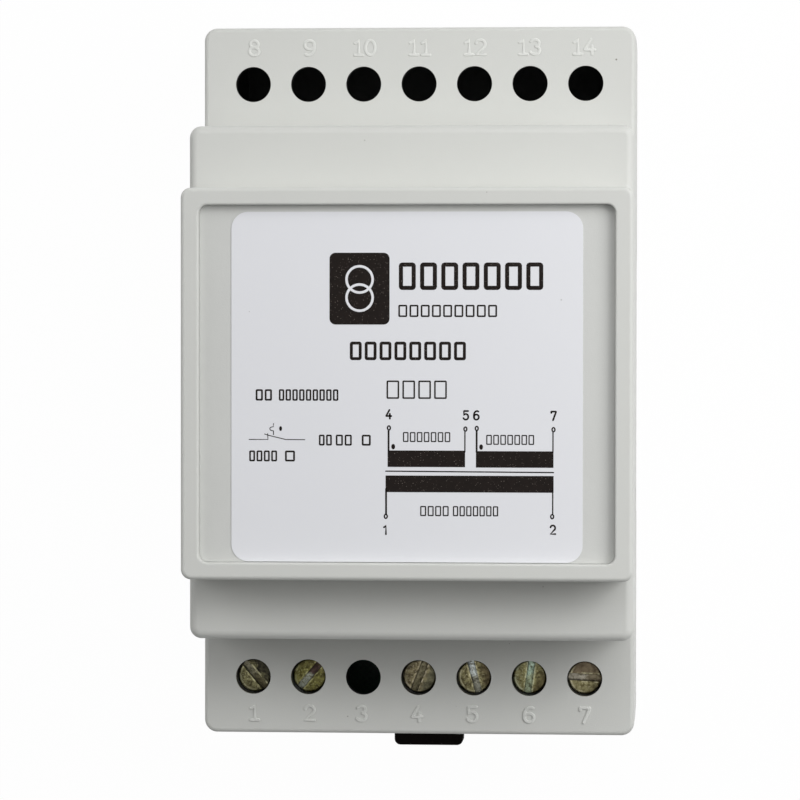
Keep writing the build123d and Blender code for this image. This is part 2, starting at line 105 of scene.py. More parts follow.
def newGroup(name, kind, inputs, outputs):
    group = bpy.data.node_groups.new(name, kind)
    for label, socketType, value in inputs:
        socket = group.interface.new_socket(label, in_out="INPUT", socket_type=socketType)
        if value is not None:
            socket.default_value = value
    for label, socketType in outputs:
        group.interface.new_socket(label, in_out="OUTPUT", socket_type=socketType)
    return group, group.nodes.new("NodeGroupInput").outputs, group.nodes.new("NodeGroupOutput").inputs


def placeGroup(tree, group, inputs):
    return addNode(tree, "ShaderNodeGroup", inputs, node_tree=group).outputs


def newMaterial(name, **plain):
    material = bpy.data.materials.new(name)
    material.use_nodes = True
    shader = material.node_tree.nodes["Principled BSDF"]
    for label, value in plain.items():
        shader.inputs[label.replace("_", " ")].default_value = value
    return material, material.node_tree, shader


def finishShader(tree, shader, color, roughness, height=None, distance=0.0):
    tree.links.new(color, shader.inputs["Base Color"])
    tree.links.new(roughness, shader.inputs["Roughness"])
    if height is not None:
        bump = addNode(tree, "ShaderNodeBump", {"Strength": 1.0, "Distance": distance, "Height": height})
        tree.links.new(bump.outputs[0], shader.inputs["Normal"])


# Shader groups shared by several finishes

# noises are noted in the order scale, detail, roughness, without what the finish sets or leaves as it is
skinGrain = {"slow": (95.0, 3.0, 0.55), "middle": (900.0, 3.0, 0.6), "grain": (3.0, 0.65),
             "middleTone": 0.55, "grainTone": 0.6, "roughness": 0.25, "middleHeight": 0.5}


def makeMouldedSkin():
    # spark-eroded grain with a slow mottle in tone, as on moulded plastic
    group, given, out = newGroup("mouldedSkin", "ShaderNodeTree", [
        ("Color", "NodeSocketColor", (0.6, 0.6, 0.6, 1)),
        ("Grain Scale", "NodeSocketFloat", 7000.0),
        ("Mottle", "NodeSocketFloat", 0.03),
        ("Gloss", "NodeSocketFloat", 0.5),
    ], [("Color", "NodeSocketColor"), ("Roughness", "NodeSocketFloat"), ("Height", "NodeSocketFloat")])
    place = objectPlace(group)
    slow = noise(group, place, *skinGrain["slow"])
    middle = noise(group, place, *skinGrain["middle"])
    grain = noise(group, place, given["Grain Scale"], *skinGrain["grain"])
    tone = calc(group, "ADD", swing(group, slow), swing(group, middle, skinGrain["middleTone"]))
    tone = calc(group, "ADD", tone, swing(group, grain, skinGrain["grainTone"]))
    lift = calc(group, "ADD", calc(group, "MULTIPLY", tone, given["Mottle"]), 1.0)
    rough = calc(group, "ADD", given["Gloss"], swing(group, middle, skinGrain["roughness"]), clamp=True)
    height = calc(group, "ADD", grain, calc(group, "MULTIPLY", middle, skinGrain["middleHeight"]))
    group.links.new(calcVector(group, "SCALE", {0: given["Color"], "Scale": lift}), out["Color"])
    group.links.new(rough, out["Roughness"])
    group.links.new(height, out["Height"])
    return group


speckShape = {"wobble": 0.08 * mm, "wobbleNoise": {"Scale": 5000.0, "Detail": 1.0}, "smallest": 0.35,
              "core": 0.55, "faintest": 0.3}


def makeSpecks():
    # tiny round specks scattered one to a cell, some cells left empty
    group, given, out = newGroup("specks", "ShaderNodeTree", [
        ("Color", "NodeSocketColor", (0.6, 0.6, 0.6, 1)),
        ("Speck Color", "NodeSocketColor", (0.1, 0.09, 0.08, 1)),
        ("Cells", "NodeSocketFloat", 150.0),
        ("Size", "NodeSocketFloat", 0.02),
        ("Share", "NodeSocketFloat", 0.3),
    ], [("Color", "NodeSocketColor")])
    place = objectPlace(group)
    inputs = {"Vector": place, **speckShape["wobbleNoise"]}
    wobble = addNode(group, "ShaderNodeTexNoise", inputs).outputs["Color"]
    shift = calcVector(group, "SCALE", {0: wobble, "Scale": speckShape["wobble"]})
    moved = calcVector(group, "ADD", {0: place, 1: shift})
    cells = addNode(group, "ShaderNodeTexVoronoi", {"Vector": moved, "Scale": given["Cells"]})
    pick = addNode(group, "ShaderNodeSeparateColor", {0: cells.outputs["Color"]}).outputs
    size = calc(group, "MULTIPLY", given["Size"], calc(group, "ADD", pick[1], speckShape["smallest"]))
    core = calc(group, "MULTIPLY", size, speckShape["core"])
    inside = remap(group, cells.outputs["Distance"], size, core)
    chosen = calc(group, "LESS_THAN", pick[0], given["Share"])
    strength = calc(group, "ADD", pick[2], speckShape["faintest"])
    mask = calc(group, "MULTIPLY", calc(group, "MULTIPLY", inside, chosen), strength, clamp=True)
    group.links.new(mixColor(group, mask, given["Color"], given["Speck Color"]), out["Color"])
    return group


ageing = {"patch": (4.0, 0.6), "fine": (5200.0, 3.0, 0.7), "wornScale": 2.7, "worn": (3.0, 0.6),
          "stainEdge": (0.16, 0.12), "brightEdge": (0.08, 0.1), "grime": (0.35, 0.72, 0.55),
          "roughness": 0.36, "stainRough": 0.3, "brightSmooth": 0.12, "fineHeight": 0.6}


def pastEdge(tree, value, share, soft):
    # the share of the surface where a noise stands highest, with a soft edge
    edge = calc(tree, "SUBTRACT", 1.0, share)
    return remap(tree, value, calc(tree, "SUBTRACT", edge, soft[0]), calc(tree, "ADD", edge, soft[1]))


def makeAgedPlating():
    # plated metal gone dull: broad stain patches, fine speckle and worn bright spots
    group, given, out = newGroup("agedPlating", "ShaderNodeTree", [
        ("Base", "NodeSocketColor", (0.3, 0.27, 0.16, 1)),
        ("Stain", "NodeSocketColor", (0.1, 0.07, 0.05, 1)),
        ("Bright", "NodeSocketColor", (0.6, 0.6, 0.5, 1)),
        ("Shift", "NodeSocketVector", (0, 0, 0)),
        ("Patch Scale", "NodeSocketFloat", 500.0),
        ("Stain Share", "NodeSocketFloat", 0.5),
        ("Bright Share", "NodeSocketFloat", 0.3),
    ], [("Color", "NodeSocketColor"), ("Roughness", "NodeSocketFloat"), ("Height", "NodeSocketFloat")])
    place = calcVector(group, "ADD", {0: objectPlace(group), 1: given["Shift"]})
    patch = noise(group, place, given["Patch Scale"], *ageing["patch"])
    fine = noise(group, place, *ageing["fine"])
    wornScale = calc(group, "MULTIPLY", given["Patch Scale"], ageing["wornScale"])
    worn = noise(group, place, wornScale, *ageing["worn"])
    stained = pastEdge(group, patch, given["Stain Share"], ageing["stainEdge"])
    bright = pastEdge(group, worn, given["Bright Share"], ageing["brightEdge"])
    color = mixColor(group, stained, given["Base"], given["Stain"])
    color = mixColor(group, bright, color, given["Bright"])
    low, high, cover = ageing["grime"]
    color = mixColor(group, remap(group, fine, low, high, 0.0, cover), color, given["Stain"])
    rough = calc(group, "ADD", ageing["roughness"], calc(group, "MULTIPLY", stained, ageing["stainRough"]))
    smooth = calc(group, "MULTIPLY", bright, ageing["brightSmooth"])
    group.links.new(color, out["Color"])
    group.links.new(calc(group, "SUBTRACT", rough, smooth, clamp=True), out["Roughness"])
    fineHeight = calc(group, "MULTIPLY", fine, ageing["fineHeight"])
    group.links.new(calc(group, "ADD", patch, fineHeight), out["Height"])
    return group


mouldedSkin = makeMouldedSkin()
specks = makeSpecks()
agedPlating = makeAgedPlating()
print("shader groups built")


# Plastics; the bump is in millimetres

plastics = {
    "caseGrey": {"color": (208, 209, 205), "grain": 7000, "mottle": 0.035, "gloss": 0.5, "bump": 0.012},
    "panelGrey": {"color": (205, 206, 203), "grain": 6000, "mottle": 0.05, "gloss": 0.52, "bump": 0.014},
    # the numerals' plastic is the case's plastic painted lighter: a painted highlight on their tops
    "numeralLitGrey": {"color": (217, 218, 214), "grain": 7000, "mottle": 0.02, "gloss": 0.55, "bump": 0.008},
    "clipBlack": {"color": (12, 8, 7), "grain": 5000, "mottle": 0.3, "gloss": 0.7, "bump": 0.02,
                  "shine": 0.05},
    "blockPlastic": {"color": (82, 84, 86), "grain": 5000, "mottle": 0.1, "gloss": 0.5, "bump": 0.02},
    "bobbinPlastic": {"color": (44, 44, 46), "grain": 4000, "mottle": 0.2, "gloss": 0.45, "bump": 0.02},
    "cutoutCase": {"color": (60, 56, 54), "grain": 3000, "mottle": 0.2, "gloss": 0.3, "bump": 0.02},
}
speckLook = {"Speck Color": fromScreen(96, 88, 80), "Cells": 300.0, "Size": 0.036, "Share": 0.9}
# painted shade inside both ends of the case, down through the walls of the screw holes
shaftShadeLook = {"nearY": 30.5 * mm, "farY": 43.1 * mm, "halfX": 25.5 * mm, "lowZ": 0.8 * mm,
             "highZ": 34.75 * mm, "soft": 0.4 * mm, "shade": 0.015}


def paintShaftShade(tree, color):
    # painted shade: the inside of both ends of the case is seen only through deep holes, and hardly any light
    # comes back, so its colour is darkened there, up to the walls of the holes
    place = addNode(tree, "ShaderNodeSeparateXYZ", {0: objectPlace(tree)}).outputs
    acrossX, acrossY = (calc(tree, "ABSOLUTE", place[axis]) for axis in (0, 1))
    soft = shaftShadeLook["soft"]
    inside = remap(tree, acrossY, shaftShadeLook["nearY"] - soft, shaftShadeLook["nearY"] + soft)
    for value, limit in ((acrossX, "halfX"), (acrossY, "farY"), (place[2], "highZ")):
        inside = calc(tree, "MULTIPLY", inside, calc(tree, "LESS_THAN", value, shaftShadeLook[limit]))
    inside = calc(tree, "MULTIPLY", inside, calc(tree, "GREATER_THAN", place[2], shaftShadeLook["lowZ"]))
    keep = calc(tree, "SUBTRACT", 1.0, calc(tree, "MULTIPLY", inside, 1 - shaftShadeLook["shade"]))
    return calcVector(tree, "SCALE", {0: color, "Scale": keep})


def makePlastic(name, withSpecks=False, withShaftShade=False):
    look = plastics[name]
    material, tree, shader = newMaterial(name, Specular_IOR_Level=look.get("shine", 0.5))
    skin = placeGroup(tree, mouldedSkin, {"Color": fromScreen(*look["color"]), "Grain Scale": look["grain"],
                                          "Mottle": look["mottle"], "Gloss": look["gloss"]})
    color = skin["Color"]
    if withSpecks:
        color = placeGroup(tree, specks, {"Color": color, **speckLook})["Color"]
    if withShaftShade:
        color = paintShaftShade(tree, color)
    finishShader(tree, shader, color, skin["Roughness"], skin["Height"], look["bump"] * mm)
    return material


# the case's plastic carries painted shade inside both of its ends
caseGrey = makePlastic("caseGrey", withSpecks=True, withShaftShade=True)
panelGrey = makePlastic("panelGrey", withSpecks=True)
# a lighter copy of the case plastic, a painted highlight on the numerals
numeralLitGrey = makePlastic("numeralLitGrey")
clipBlack = makePlastic("clipBlack")
blockPlastic = makePlastic("blockPlastic")
bobbinPlastic = makePlastic("bobbinPlastic")
cutoutCase = makePlastic("cutoutCase")


# Label film and ink

film = {
    "skin": {"Color": fromScreen(229, 230, 234), "Grain Scale": 9000.0, "Mottle": 0.012, "Gloss": 0.42},
    "specks": {"Speck Color": fromScreen(120, 116, 112), "Cells": 300.0, "Size": 0.03, "Share": 0.5},
    "wave": (160.0, 1.0), "waveHeight": 0.02 * mm,
}
ink = {
    "dark": fromScreen(12, 8, 6), "light": fromScreen(30, 23, 20), "patches": (1500.0, 3.0),
    "plain": {"Roughness": 0.5, "Specular_IOR_Level": 0.1},
    "pinholes": {"Speck Color": fromScreen(112, 104, 98), "Cells": 6500.0, "Size": 0.3, "Share": 0.3},
}


def makeLabelWhite():
    material, tree, shader = newMaterial("labelWhite")
    skin = placeGroup(tree, mouldedSkin, film["skin"])
    marked = placeGroup(tree, specks, {"Color": skin["Color"], **film["specks"]})["Color"]
    wave = noise(tree, objectPlace(tree), *film["wave"])
    finishShader(tree, shader, marked, skin["Roughness"], wave, film["waveHeight"])
    return material


def makePrintBlack():
    material, tree, shader = newMaterial("printBlack", **ink["plain"])
    patches = noise(tree, objectPlace(tree), *ink["patches"])
    color = mixColor(tree, patches, ink["dark"], ink["light"])
    flecked = placeGroup(tree, specks, {"Color": color, **ink["pinholes"]})["Color"]
    tree.links.new(flecked, shader.inputs["Base Color"])
    return material


labelWhite = makeLabelWhite()
printBlack = makePrintBlack()


# Metals; the bump is in millimetres

metals = {
    "zincSteel": {"base": (186, 188, 186), "stain": (140, 138, 128), "bright": (222, 224, 222),
                  "patch": 260, "stainShare": 0.42, "brightShare": 0.34, "metallic": 1.0, "bump": 0.01},
    "tinnedMetal": {"base": (190, 190, 186), "stain": (150, 146, 138), "bright": (226, 226, 222),
                    "patch": 320, "stainShare": 0.4, "brightShare": 0.36, "metallic": 1.0, "bump": 0.01},
    "coreSteel": {"base": (104, 106, 112), "stain": (84, 66, 50), "bright": (150, 152, 156),
                  "patch": 180, "stainShare": 0.4, "brightShare": 0.3, "metallic": 0.9, "bump": 0.02},
}


def ageMetal(tree, look, **more):
    colors = {label: fromScreen(*look[label.lower()]) for label in ("Base", "Stain", "Bright")}
    shares = {"Stain Share": look["stainShare"], "Bright Share": look["brightShare"]}
    return placeGroup(tree, agedPlating, {**colors, **shares, "Patch Scale": look["patch"], **more})


def makeMetal(name):
    look = metals[name]
    material, tree, shader = newMaterial(name, Metallic=look["metallic"])
    worn = ageMetal(tree, look)
    finishShader(tree, shader, worn["Color"], worn["Roughness"], worn["Height"], look["bump"] * mm)
    return material


zincSteel = makeMetal("zincSteel")
tinnedMetal = makeMetal("tinnedMetal")
coreSteel = makeMetal("coreSteel")

# each terminal screw has aged in its own way: its plating, painted shade with a stain on one side of the
# head, and the two halves of its slot, one partly a painted reflection
screwLooks = {
    1: {"base": (136, 132, 92), "stain": (74, 68, 42), "bright": (196, 192, 152),
        "side": (13, 9, 9), "shadeSideTurn": 42, "shadeSideStart": -0.05,
        "slotTurn": 130, "slotHigh": (140, 136, 114), "slotLow": (92, 86, 62)},
    2: {"base": (120, 117, 62), "stain": (80, 74, 34), "bright": (166, 164, 116),
        "side": (98, 92, 52), "shadeSideTurn": 62, "shadeSideStart": 0.2,
        "slotTurn": 50, "slotHigh": (76, 58, 54), "slotLow": (164, 168, 154)},
    4: {"base": (146, 137, 102), "stain": (92, 82, 60), "bright": (184, 174, 148),
        "side": (104, 102, 80), "shadeSideTurn": -25, "shadeSideStart": 0.1,
        "slotTurn": 68, "slotHigh": (130, 124, 98), "slotLow": (116, 110, 84)},
    5: {"base": (140, 134, 94), "stain": (86, 78, 50), "bright": (200, 194, 156),
        "side": (98, 86, 60), "shadeSideTurn": 10, "shadeSideStart": 0.2,
        "slotTurn": 105, "slotHigh": (206, 214, 212), "slotLow": (156, 156, 142)},
    6: {"base": (148, 143, 98), "stain": (94, 88, 54), "bright": (192, 194, 158),
        "side": (108, 98, 64), "shadeSideTurn": -30, "shadeSideStart": 0.1,
        "slotTurn": 82, "slotHigh": (178, 200, 180), "slotLow": (166, 178, 148)},
    7: {"base": (144, 138, 100), "stain": (94, 86, 54), "bright": (190, 184, 150),
        "side": (108, 94, 76), "shadeSideTurn": 92, "shadeSideStart": -0.1,
        "slotTurn": -3, "slotHigh": (130, 120, 98), "slotLow": (178, 172, 156)},
}
# what the six screws share: noises and where each effect starts and ends, in shares or in millimetres
screwWear = {
    "metal": {"patch": 2000, "stainShare": 0.46, "brightShare": 0.38}, "metallic": 0.7, "bump": 0.04,
    "shift": (0.013, 0.007), "ragged": (1100, 4.0, 0.6),
    # painted shade with a stain on one side of each head
    "shadeSideRagged": 1.4, "shadeSideSoft": 0.6, "shadeSideCover": 0.85,
    "slotTop": 0.25, "slotFoot": 0.6, "slotRagged": 1.2, "slotSoft": 0.15,
    "grimeNoise": (4200, 3.0), "grime": (0.46, 0.7, 0.75), "slotFootShade": fromScreen(40, 34, 26),
    # the darker band along the foot of the slot's walls is painted shade
    "slotFootShadeBand": (-0.2, -0.06, 0.7), "slotFootShadeScale": 1700, "slotFootShadeGaps": (0.38, 0.6, 0.25),
    # painted highlights beside the slot and on the lower-left of the rim
    "edgeHighlightBand": (0.24, 0.1, 0.8), "edgeHighlightScale": 1900, "edgeHighlightGaps": (0.4, 0.6),
    "rimHighlightBand": (-0.46, -0.3, 0.9), "rimHighlightTurn": 200, "rimHighlightReach": (0.1, 0.8),
    "rimHighlightScale": 1500, "rimHighlightGaps": (0.38, 0.52),
}
screwShape = {"headHeight": 1.8 * mm, "slotHalf": 0.44 * mm, "shank": 1.45 * mm, "root": 1.2 * mm,
              "ridge": 0.16 * mm, "pitch": 0.5 * mm, "threadSteps": 20,
              "nearShank": (0.95, 1.05), "headSlack": 0.01 * mm,
              "edge": 0.07 * mm, "edgeSteps": 2, "edgeAngle": 40, "sharpAngle": 32, "flatAngle": 1}


def alongLine(tree, place, degrees):
    turn = math.radians(degrees)
    inputs = {0: place, 1: (math.cos(turn), math.sin(turn), 0)}
    return addNode(tree, "ShaderNodeVectorMath", inputs, operation="DOT_PRODUCT").outputs["Value"]


def bandFrom(tree, value, middle, band):
    # rises smoothly between two distances from a line or ring, up to the third number
    return remap(tree, value, middle + band[0] * mm, middle + band[1] * mm, 0.0, band[2])


def breakUp(tree, mask, place, scale, low, high, least=0.0):
    return calc(tree, "MULTIPLY", mask, remap(tree, noise(tree, place, scale), low, high, least, 1.0))


def paintHead(tree, look, near, ragged, radius):
    # the plating, and painted shade with a stain that covers one side of the head
    shift = (screwWear["shift"][0] * look["terminal"], screwWear["shift"][1] * look["terminal"], 0)
    worn = ageMetal(tree, {**look, **screwWear["metal"]}, Shift=shift)
    reach = calc(tree, "MULTIPLY", ragged, radius * screwWear["shadeSideRagged"])
    reach = calc(tree, "ADD", alongLine(tree, near, look["shadeSideTurn"]), reach)
    shadeSideEnd = look["shadeSideStart"] + screwWear["shadeSideSoft"]
    # painted shade with a stain over one side of the head
    side = remap(tree, reach, radius * look["shadeSideStart"], radius * shadeSideEnd, 0.0, screwWear["shadeSideCover"])
    return mixColor(tree, side, worn["Color"], fromScreen(*look["side"])), worn


def paintSlot(tree, look, place, near, ragged, radius, across):
    # the two halves of the slot's floor, one partly a painted reflection, grime on it, and painted shade
    # along the foot of its walls
    along = calc(tree, "MULTIPLY", ragged, radius * screwWear["slotRagged"])
    along = calc(tree, "ADD", alongLine(tree, near, look["slotTurn"]), along)
    half = remap(tree, along, -screwWear["slotSoft"] * radius, screwWear["slotSoft"] * radius)
    # two tones along the slot's floor, one partly a painted reflection
    color = mixColor(tree, half, fromScreen(*look["slotLow"]), fromScreen(*look["slotHigh"]))
    low, high, cover = screwWear["grime"]
    grime = remap(tree, noise(tree, place, *screwWear["grimeNoise"]), low, high, 0.0, cover)
    color = mixColor(tree, grime, color, fromScreen(*look["stain"]))
    # painted shade along the foot of the slot's walls
    slotFootShade = bandFrom(tree, across, screwShape["slotHalf"], screwWear["slotFootShadeBand"])
    slotFootShade = breakUp(tree, slotFootShade, place, screwWear["slotFootShadeScale"], *screwWear["slotFootShadeGaps"])
    return mixColor(tree, slotFootShade, color, screwWear["slotFootShade"])


def makeScrewFinish(terminal, middle, top, radius):
    look = {"terminal": terminal, **screwLooks[terminal]}
    material, tree, shader = newMaterial(f"screwBrass{terminal}", Metallic=screwWear["metallic"])
    place = objectPlace(tree)
    near = calcVector(tree, "ADD", {0: place, 1: (-middle.x, -middle.y, 0)})
    ragged = calc(tree, "SUBTRACT", noise(tree, place, *screwWear["ragged"]), 0.5)
    across = calc(tree, "ABSOLUTE", alongLine(tree, near, look["slotTurn"] + 90))
    color, worn = paintHead(tree, look, near, ragged, radius)

    # painted highlights, broken up like wear, beside the slot and along the rim's lower-left side
    bright = fromScreen(*look["bright"])
    edge = bandFrom(tree, across, screwShape["slotHalf"], screwWear["edgeHighlightBand"])
    edge = breakUp(tree, edge, place, screwWear["edgeHighlightScale"], *screwWear["edgeHighlightGaps"])
    color = mixColor(tree, edge, color, bright)
    fromMiddle = addNode(tree, "ShaderNodeSeparateXYZ", {0: near}).outputs
    squares = [calc(tree, "MULTIPLY", fromMiddle[axis], fromMiddle[axis]) for axis in (0, 1)]
    reachOut = calc(tree, "SQRT", calc(tree, "ADD", *squares))
    rimHighlight = bandFrom(tree, reachOut, radius, screwWear["rimHighlightBand"])
    rimStart, rimEnd = (share * radius for share in screwWear["rimHighlightReach"])
    facing = remap(tree, alongLine(tree, near, screwWear["rimHighlightTurn"]), rimStart, rimEnd)
    rimHighlight = calc(tree, "MULTIPLY", rimHighlight, facing)
    rimHighlight = breakUp(tree, rimHighlight, place, screwWear["rimHighlightScale"], *screwWear["rimHighlightGaps"])
    color = mixColor(tree, rimHighlight, color, bright)

    depth = addNode(tree, "ShaderNodeSeparateXYZ", {0: place}).outputs[2]
    inSlot = remap(tree, depth, top - screwWear["slotTop"] * mm, top - screwWear["slotFoot"] * mm)
    color = mixColor(tree, inSlot, color, paintSlot(tree, look, place, near, ragged, radius, across))
    finishShader(tree, shader, color, worn["Roughness"], worn["Height"], screwWear["bump"] * mm)
    return material


# Inner finishes

copperLook = {
    "skin": {"Color": fromScreen(184, 92, 48), "Grain Scale": 3000.0, "Mottle": 0.25, "Gloss": 0.28},
    "plain": {"Metallic": 1.0, "Coat_Weight": 0.6, "Coat_Roughness": 0.15},
}
tapeLook = {
    "skin": {"Color": fromScreen(222, 190, 66), "Grain Scale": 1500.0, "Mottle": 0.12, "Gloss": 0.3},
    "ripple": {"Scale": 260.0, "Distortion": 1.5, "Detail": 2.0}, "rippleHeight": 0.03 * mm,
    "plain": {"Coat_Weight": 0.4, "Coat_Roughness": 0.2},
}
laminate = {
    "skin": {"Grain Scale": 2500.0, "Mottle": 0.14, "Gloss": 0.4},
    "weave": 2400.0, "weaveShare": 0.12, "weaveColor": fromScreen(48, 104, 62), "weaveHeight": 0.005 * mm,
    "plain": {"Coat_Weight": 0.15, "Coat_Roughness": 0.2, "Specular_IOR_Level": 0.25},
}


def makeCopper():
    material, tree, shader = newMaterial("enamelledCopper", **copperLook["plain"])
    skin = placeGroup(tree, mouldedSkin, copperLook["skin"])
    finishShader(tree, shader, skin["Color"], skin["Roughness"])
    return material


def makeTape():
    material, tree, shader = newMaterial("windingTape", **tapeLook["plain"])
    skin = placeGroup(tree, mouldedSkin, tapeLook["skin"])
    inputs = {"Vector": objectPlace(tree), **tapeLook["ripple"]}
    ripple = addNode(tree, "ShaderNodeTexWave", inputs, bands_direction="X").outputs[1]
    finishShader(tree, shader, skin["Color"], skin["Roughness"], ripple, tapeLook["rippleHeight"])
    return material


def makeBoard(name, color):
    material, tree, shader = newMaterial(name, **laminate["plain"])
    skin = placeGroup(tree, mouldedSkin, {"Color": color, **laminate["skin"]})
    inputs = {"Vector": objectPlace(tree), "Scale": laminate["weave"]}
    weave = addNode(tree, "ShaderNodeTexChecker", inputs).outputs[1]
    share = calc(tree, "MULTIPLY", weave, laminate["weaveShare"])
    woven = mixColor(tree, share, skin["Color"], laminate["weaveColor"])
    finishShader(tree, shader, woven, skin["Roughness"], weave, laminate["weaveHeight"])
    return material


enamelledCopper = makeCopper()
windingTape = makeTape()
boardGreen = makeBoard("boardGreen", fromScreen(17, 60, 38))
trackGreen = makeBoard("trackGreen", fromScreen(40, 104, 58))

finishes = {
    "base_housing": caseGrey, "upper_cover": caseGrey, "front_panel": panelGrey, "rating_label": labelWhite,
    "rail_clip": clipBlack, "terminal_block_mains": blockPlastic, "terminal_block_output": blockPlastic,
    "circuit_board": boardGreen, "board_screws": zincSteel, "core_e_laminations": coreSteel,
    "core_i_laminations": coreSteel, "coil_bobbin": bobbinPlastic, "primary_winding": enamelledCopper,
    "secondary_winding_a": enamelledCopper, "secondary_winding_b": enamelledCopper,
    "primary_tape": windingTape, "secondary_tape": windingTape, "transformer_pins": tinnedMetal,
    "thermal_cutout": cutoutCase,
}
for terminal in terminals:
    low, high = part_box(f"terminal_screw_{terminal}")
    screwFinish = makeScrewFinish(terminal, (low + high) / 2, high.z, (high.x - low.x) / 2)
    finishes[f"terminal_screw_{terminal}"] = screwFinish
    finishes[f"clamp_cage_{terminal}"] = zincSteel
    finishes[f"contact_bar_{terminal}"] = tinnedMetal
for nodeName, finish in finishes.items():
    nodes[nodeName].material_slots[0].material = finish
print("finishes on", len(finishes), "nodes")


# Geometry Nodes trees

roundness = {"shoulder": 3, "strokeEnd": 12, "wire": 8, "solder": 20, "solderSide": 2}


def newGeometryTree(name, inputs):
    sockets = [("Geometry", "NodeSocketGeometry", None)] + inputs + [("Material", "NodeSocketMaterial", None)]
    return newGroup(name, "GeometryNodeTree", sockets, [("Geometry", "NodeSocketGeometry")])


def endTree(tree, geometry, material, out):
    realized = addNode(tree, "GeometryNodeRealizeInstances", {0: geometry}).outputs[0]
    inputs = {"Geometry": realized, "Material": material}
    tree.links.new(addNode(tree, "GeometryNodeSetMaterial", inputs).outputs[0], out["Geometry"])


def sweep(tree, curve, section):
    inputs = {"Curve": curve, "Profile Curve": section, "Fill Caps": True}
    return addNode(tree, "GeometryNodeCurveToMesh", inputs).outputs[0]


def copyTo(tree, points, instance, **more):
    inputs = {"Points": points, "Instance": instance, **more}
    return addNode(tree, "GeometryNodeInstanceOnPoints", inputs).outputs[0]


def moveBy(tree, geometry, offset):
    return addNode(tree, "GeometryNodeTransform", {"Geometry": geometry, "Translation": offset}).outputs[0]


def makeStrokeTree():
    # lines become flat raised strokes with rounded shoulders and round ends
    tree, given, out = newGeometryTree("raisedStrokes", [
        ("Stroke Width", "NodeSocketFloat", 0.0003),
        ("Rise", "NodeSocketFloat", 0.00015),
        ("Sunk", "NodeSocketFloat", 0.0001),
        ("Shoulder", "NodeSocketFloat", 0.00005),
    ])
    lines = addNode(tree, "GeometryNodeMeshToCurve", {0: given["Geometry"]}).outputs[0]
    upright = addNode(tree, "GeometryNodeSetCurveNormal", {0: lines}, mode="Z_UP").outputs[0]
    depth = calc(tree, "ADD", given["Rise"], given["Sunk"])
    inputs = {"Width": given["Stroke Width"], "Height": depth}
    section = addNode(tree, "GeometryNodeCurvePrimitiveQuadrilateral", inputs).outputs[0]
    inputs = {"Curve": section, "Radius": given["Shoulder"]}
    rounded = addNode(tree, "GeometryNodeFilletCurve", inputs, mode="POLY")
    rounded.inputs["Count"].default_value = roundness["shoulder"]
    swept = sweep(tree, upright, rounded.outputs[0])
    ends = addNode(tree, "GeometryNodeCurveEndpointSelection", {0: 1, 1: 1}).outputs[0]
    closed = addNode(tree, "GeometryNodeInputSplineCyclic").outputs[0]
    openEnds = addNode(tree, "FunctionNodeBooleanMath", {0: ends, 1: closed}, operation="NIMPLY").outputs[0]
    half = calc(tree, "MULTIPLY", given["Stroke Width"], 0.5)
    inputs = {"Vertices": roundness["strokeEnd"], "Radius": half, "Depth": depth}
    button = addNode(tree, "GeometryNodeMeshCylinder", inputs).outputs[0]
    joined = tree.nodes.new("GeometryNodeJoinGeometry")
    tree.links.new(copyTo(tree, lines, button, Selection=openEnds), joined.inputs[0])
    tree.links.new(swept, joined.inputs[0])
    rise = calc(tree, "MULTIPLY", calc(tree, "SUBTRACT", given["Rise"], given["Sunk"]), 0.5)
    offset = addNode(tree, "ShaderNodeCombineXYZ", {2: rise}).outputs[0]
    endTree(tree, moveBy(tree, joined.outputs[0], offset), given["Material"], out)
    return tree


def makeWireTree():
    # lines become round wires
    tree, given, out = newGeometryTree("roundWires", [("Radius", "NodeSocketFloat", 0.0002)])
    lines = addNode(tree, "GeometryNodeMeshToCurve", {0: given["Geometry"]}).outputs[0]
    inputs = {"Resolution": roundness["wire"], "Radius": given["Radius"]}
    section = addNode(tree, "GeometryNodeCurvePrimitiveCircle", inputs).outputs[0]
    endTree(tree, sweep(tree, lines, section), given["Material"], out)
    return tree


def makeSheetTree():
    # one sheet becomes a stack of them, each a little out of line
    tree, given, out = newGeometryTree("sheetStack", [
        ("Sheets", "NodeSocketInt", 37),
        ("Pitch", "NodeSocketFloat", 0.0005),
        ("Shift", "NodeSocketFloat", 0.00003),
        ("Seed", "NodeSocketInt", 3),
    ])
    step = addNode(tree, "ShaderNodeCombineXYZ", {2: given["Pitch"]}).outputs[0]
    places = addNode(tree, "GeometryNodeMeshLine", {"Count": given["Sheets"], "Offset": step}).outputs[0]
    stack = copyTo(tree, places, given["Geometry"])
    farthest = addNode(tree, "ShaderNodeCombineXYZ", {0: given["Shift"], 1: given["Shift"]}).outputs[0]
    opposite = calcVector(tree, "SCALE", {0: farthest, "Scale": -1.0})
    inputs = {"Min": opposite, "Max": farthest, "Seed": given["Seed"]}
    shift = addNode(tree, "FunctionNodeRandomValue", inputs, data_type="FLOAT_VECTOR").outputs[0]
    inputs = {"Instances": stack, "Translation": shift}
    moved = addNode(tree, "GeometryNodeTranslateInstances", inputs).outputs[0]
    endTree(tree, moved, given["Material"], out)
    return tree


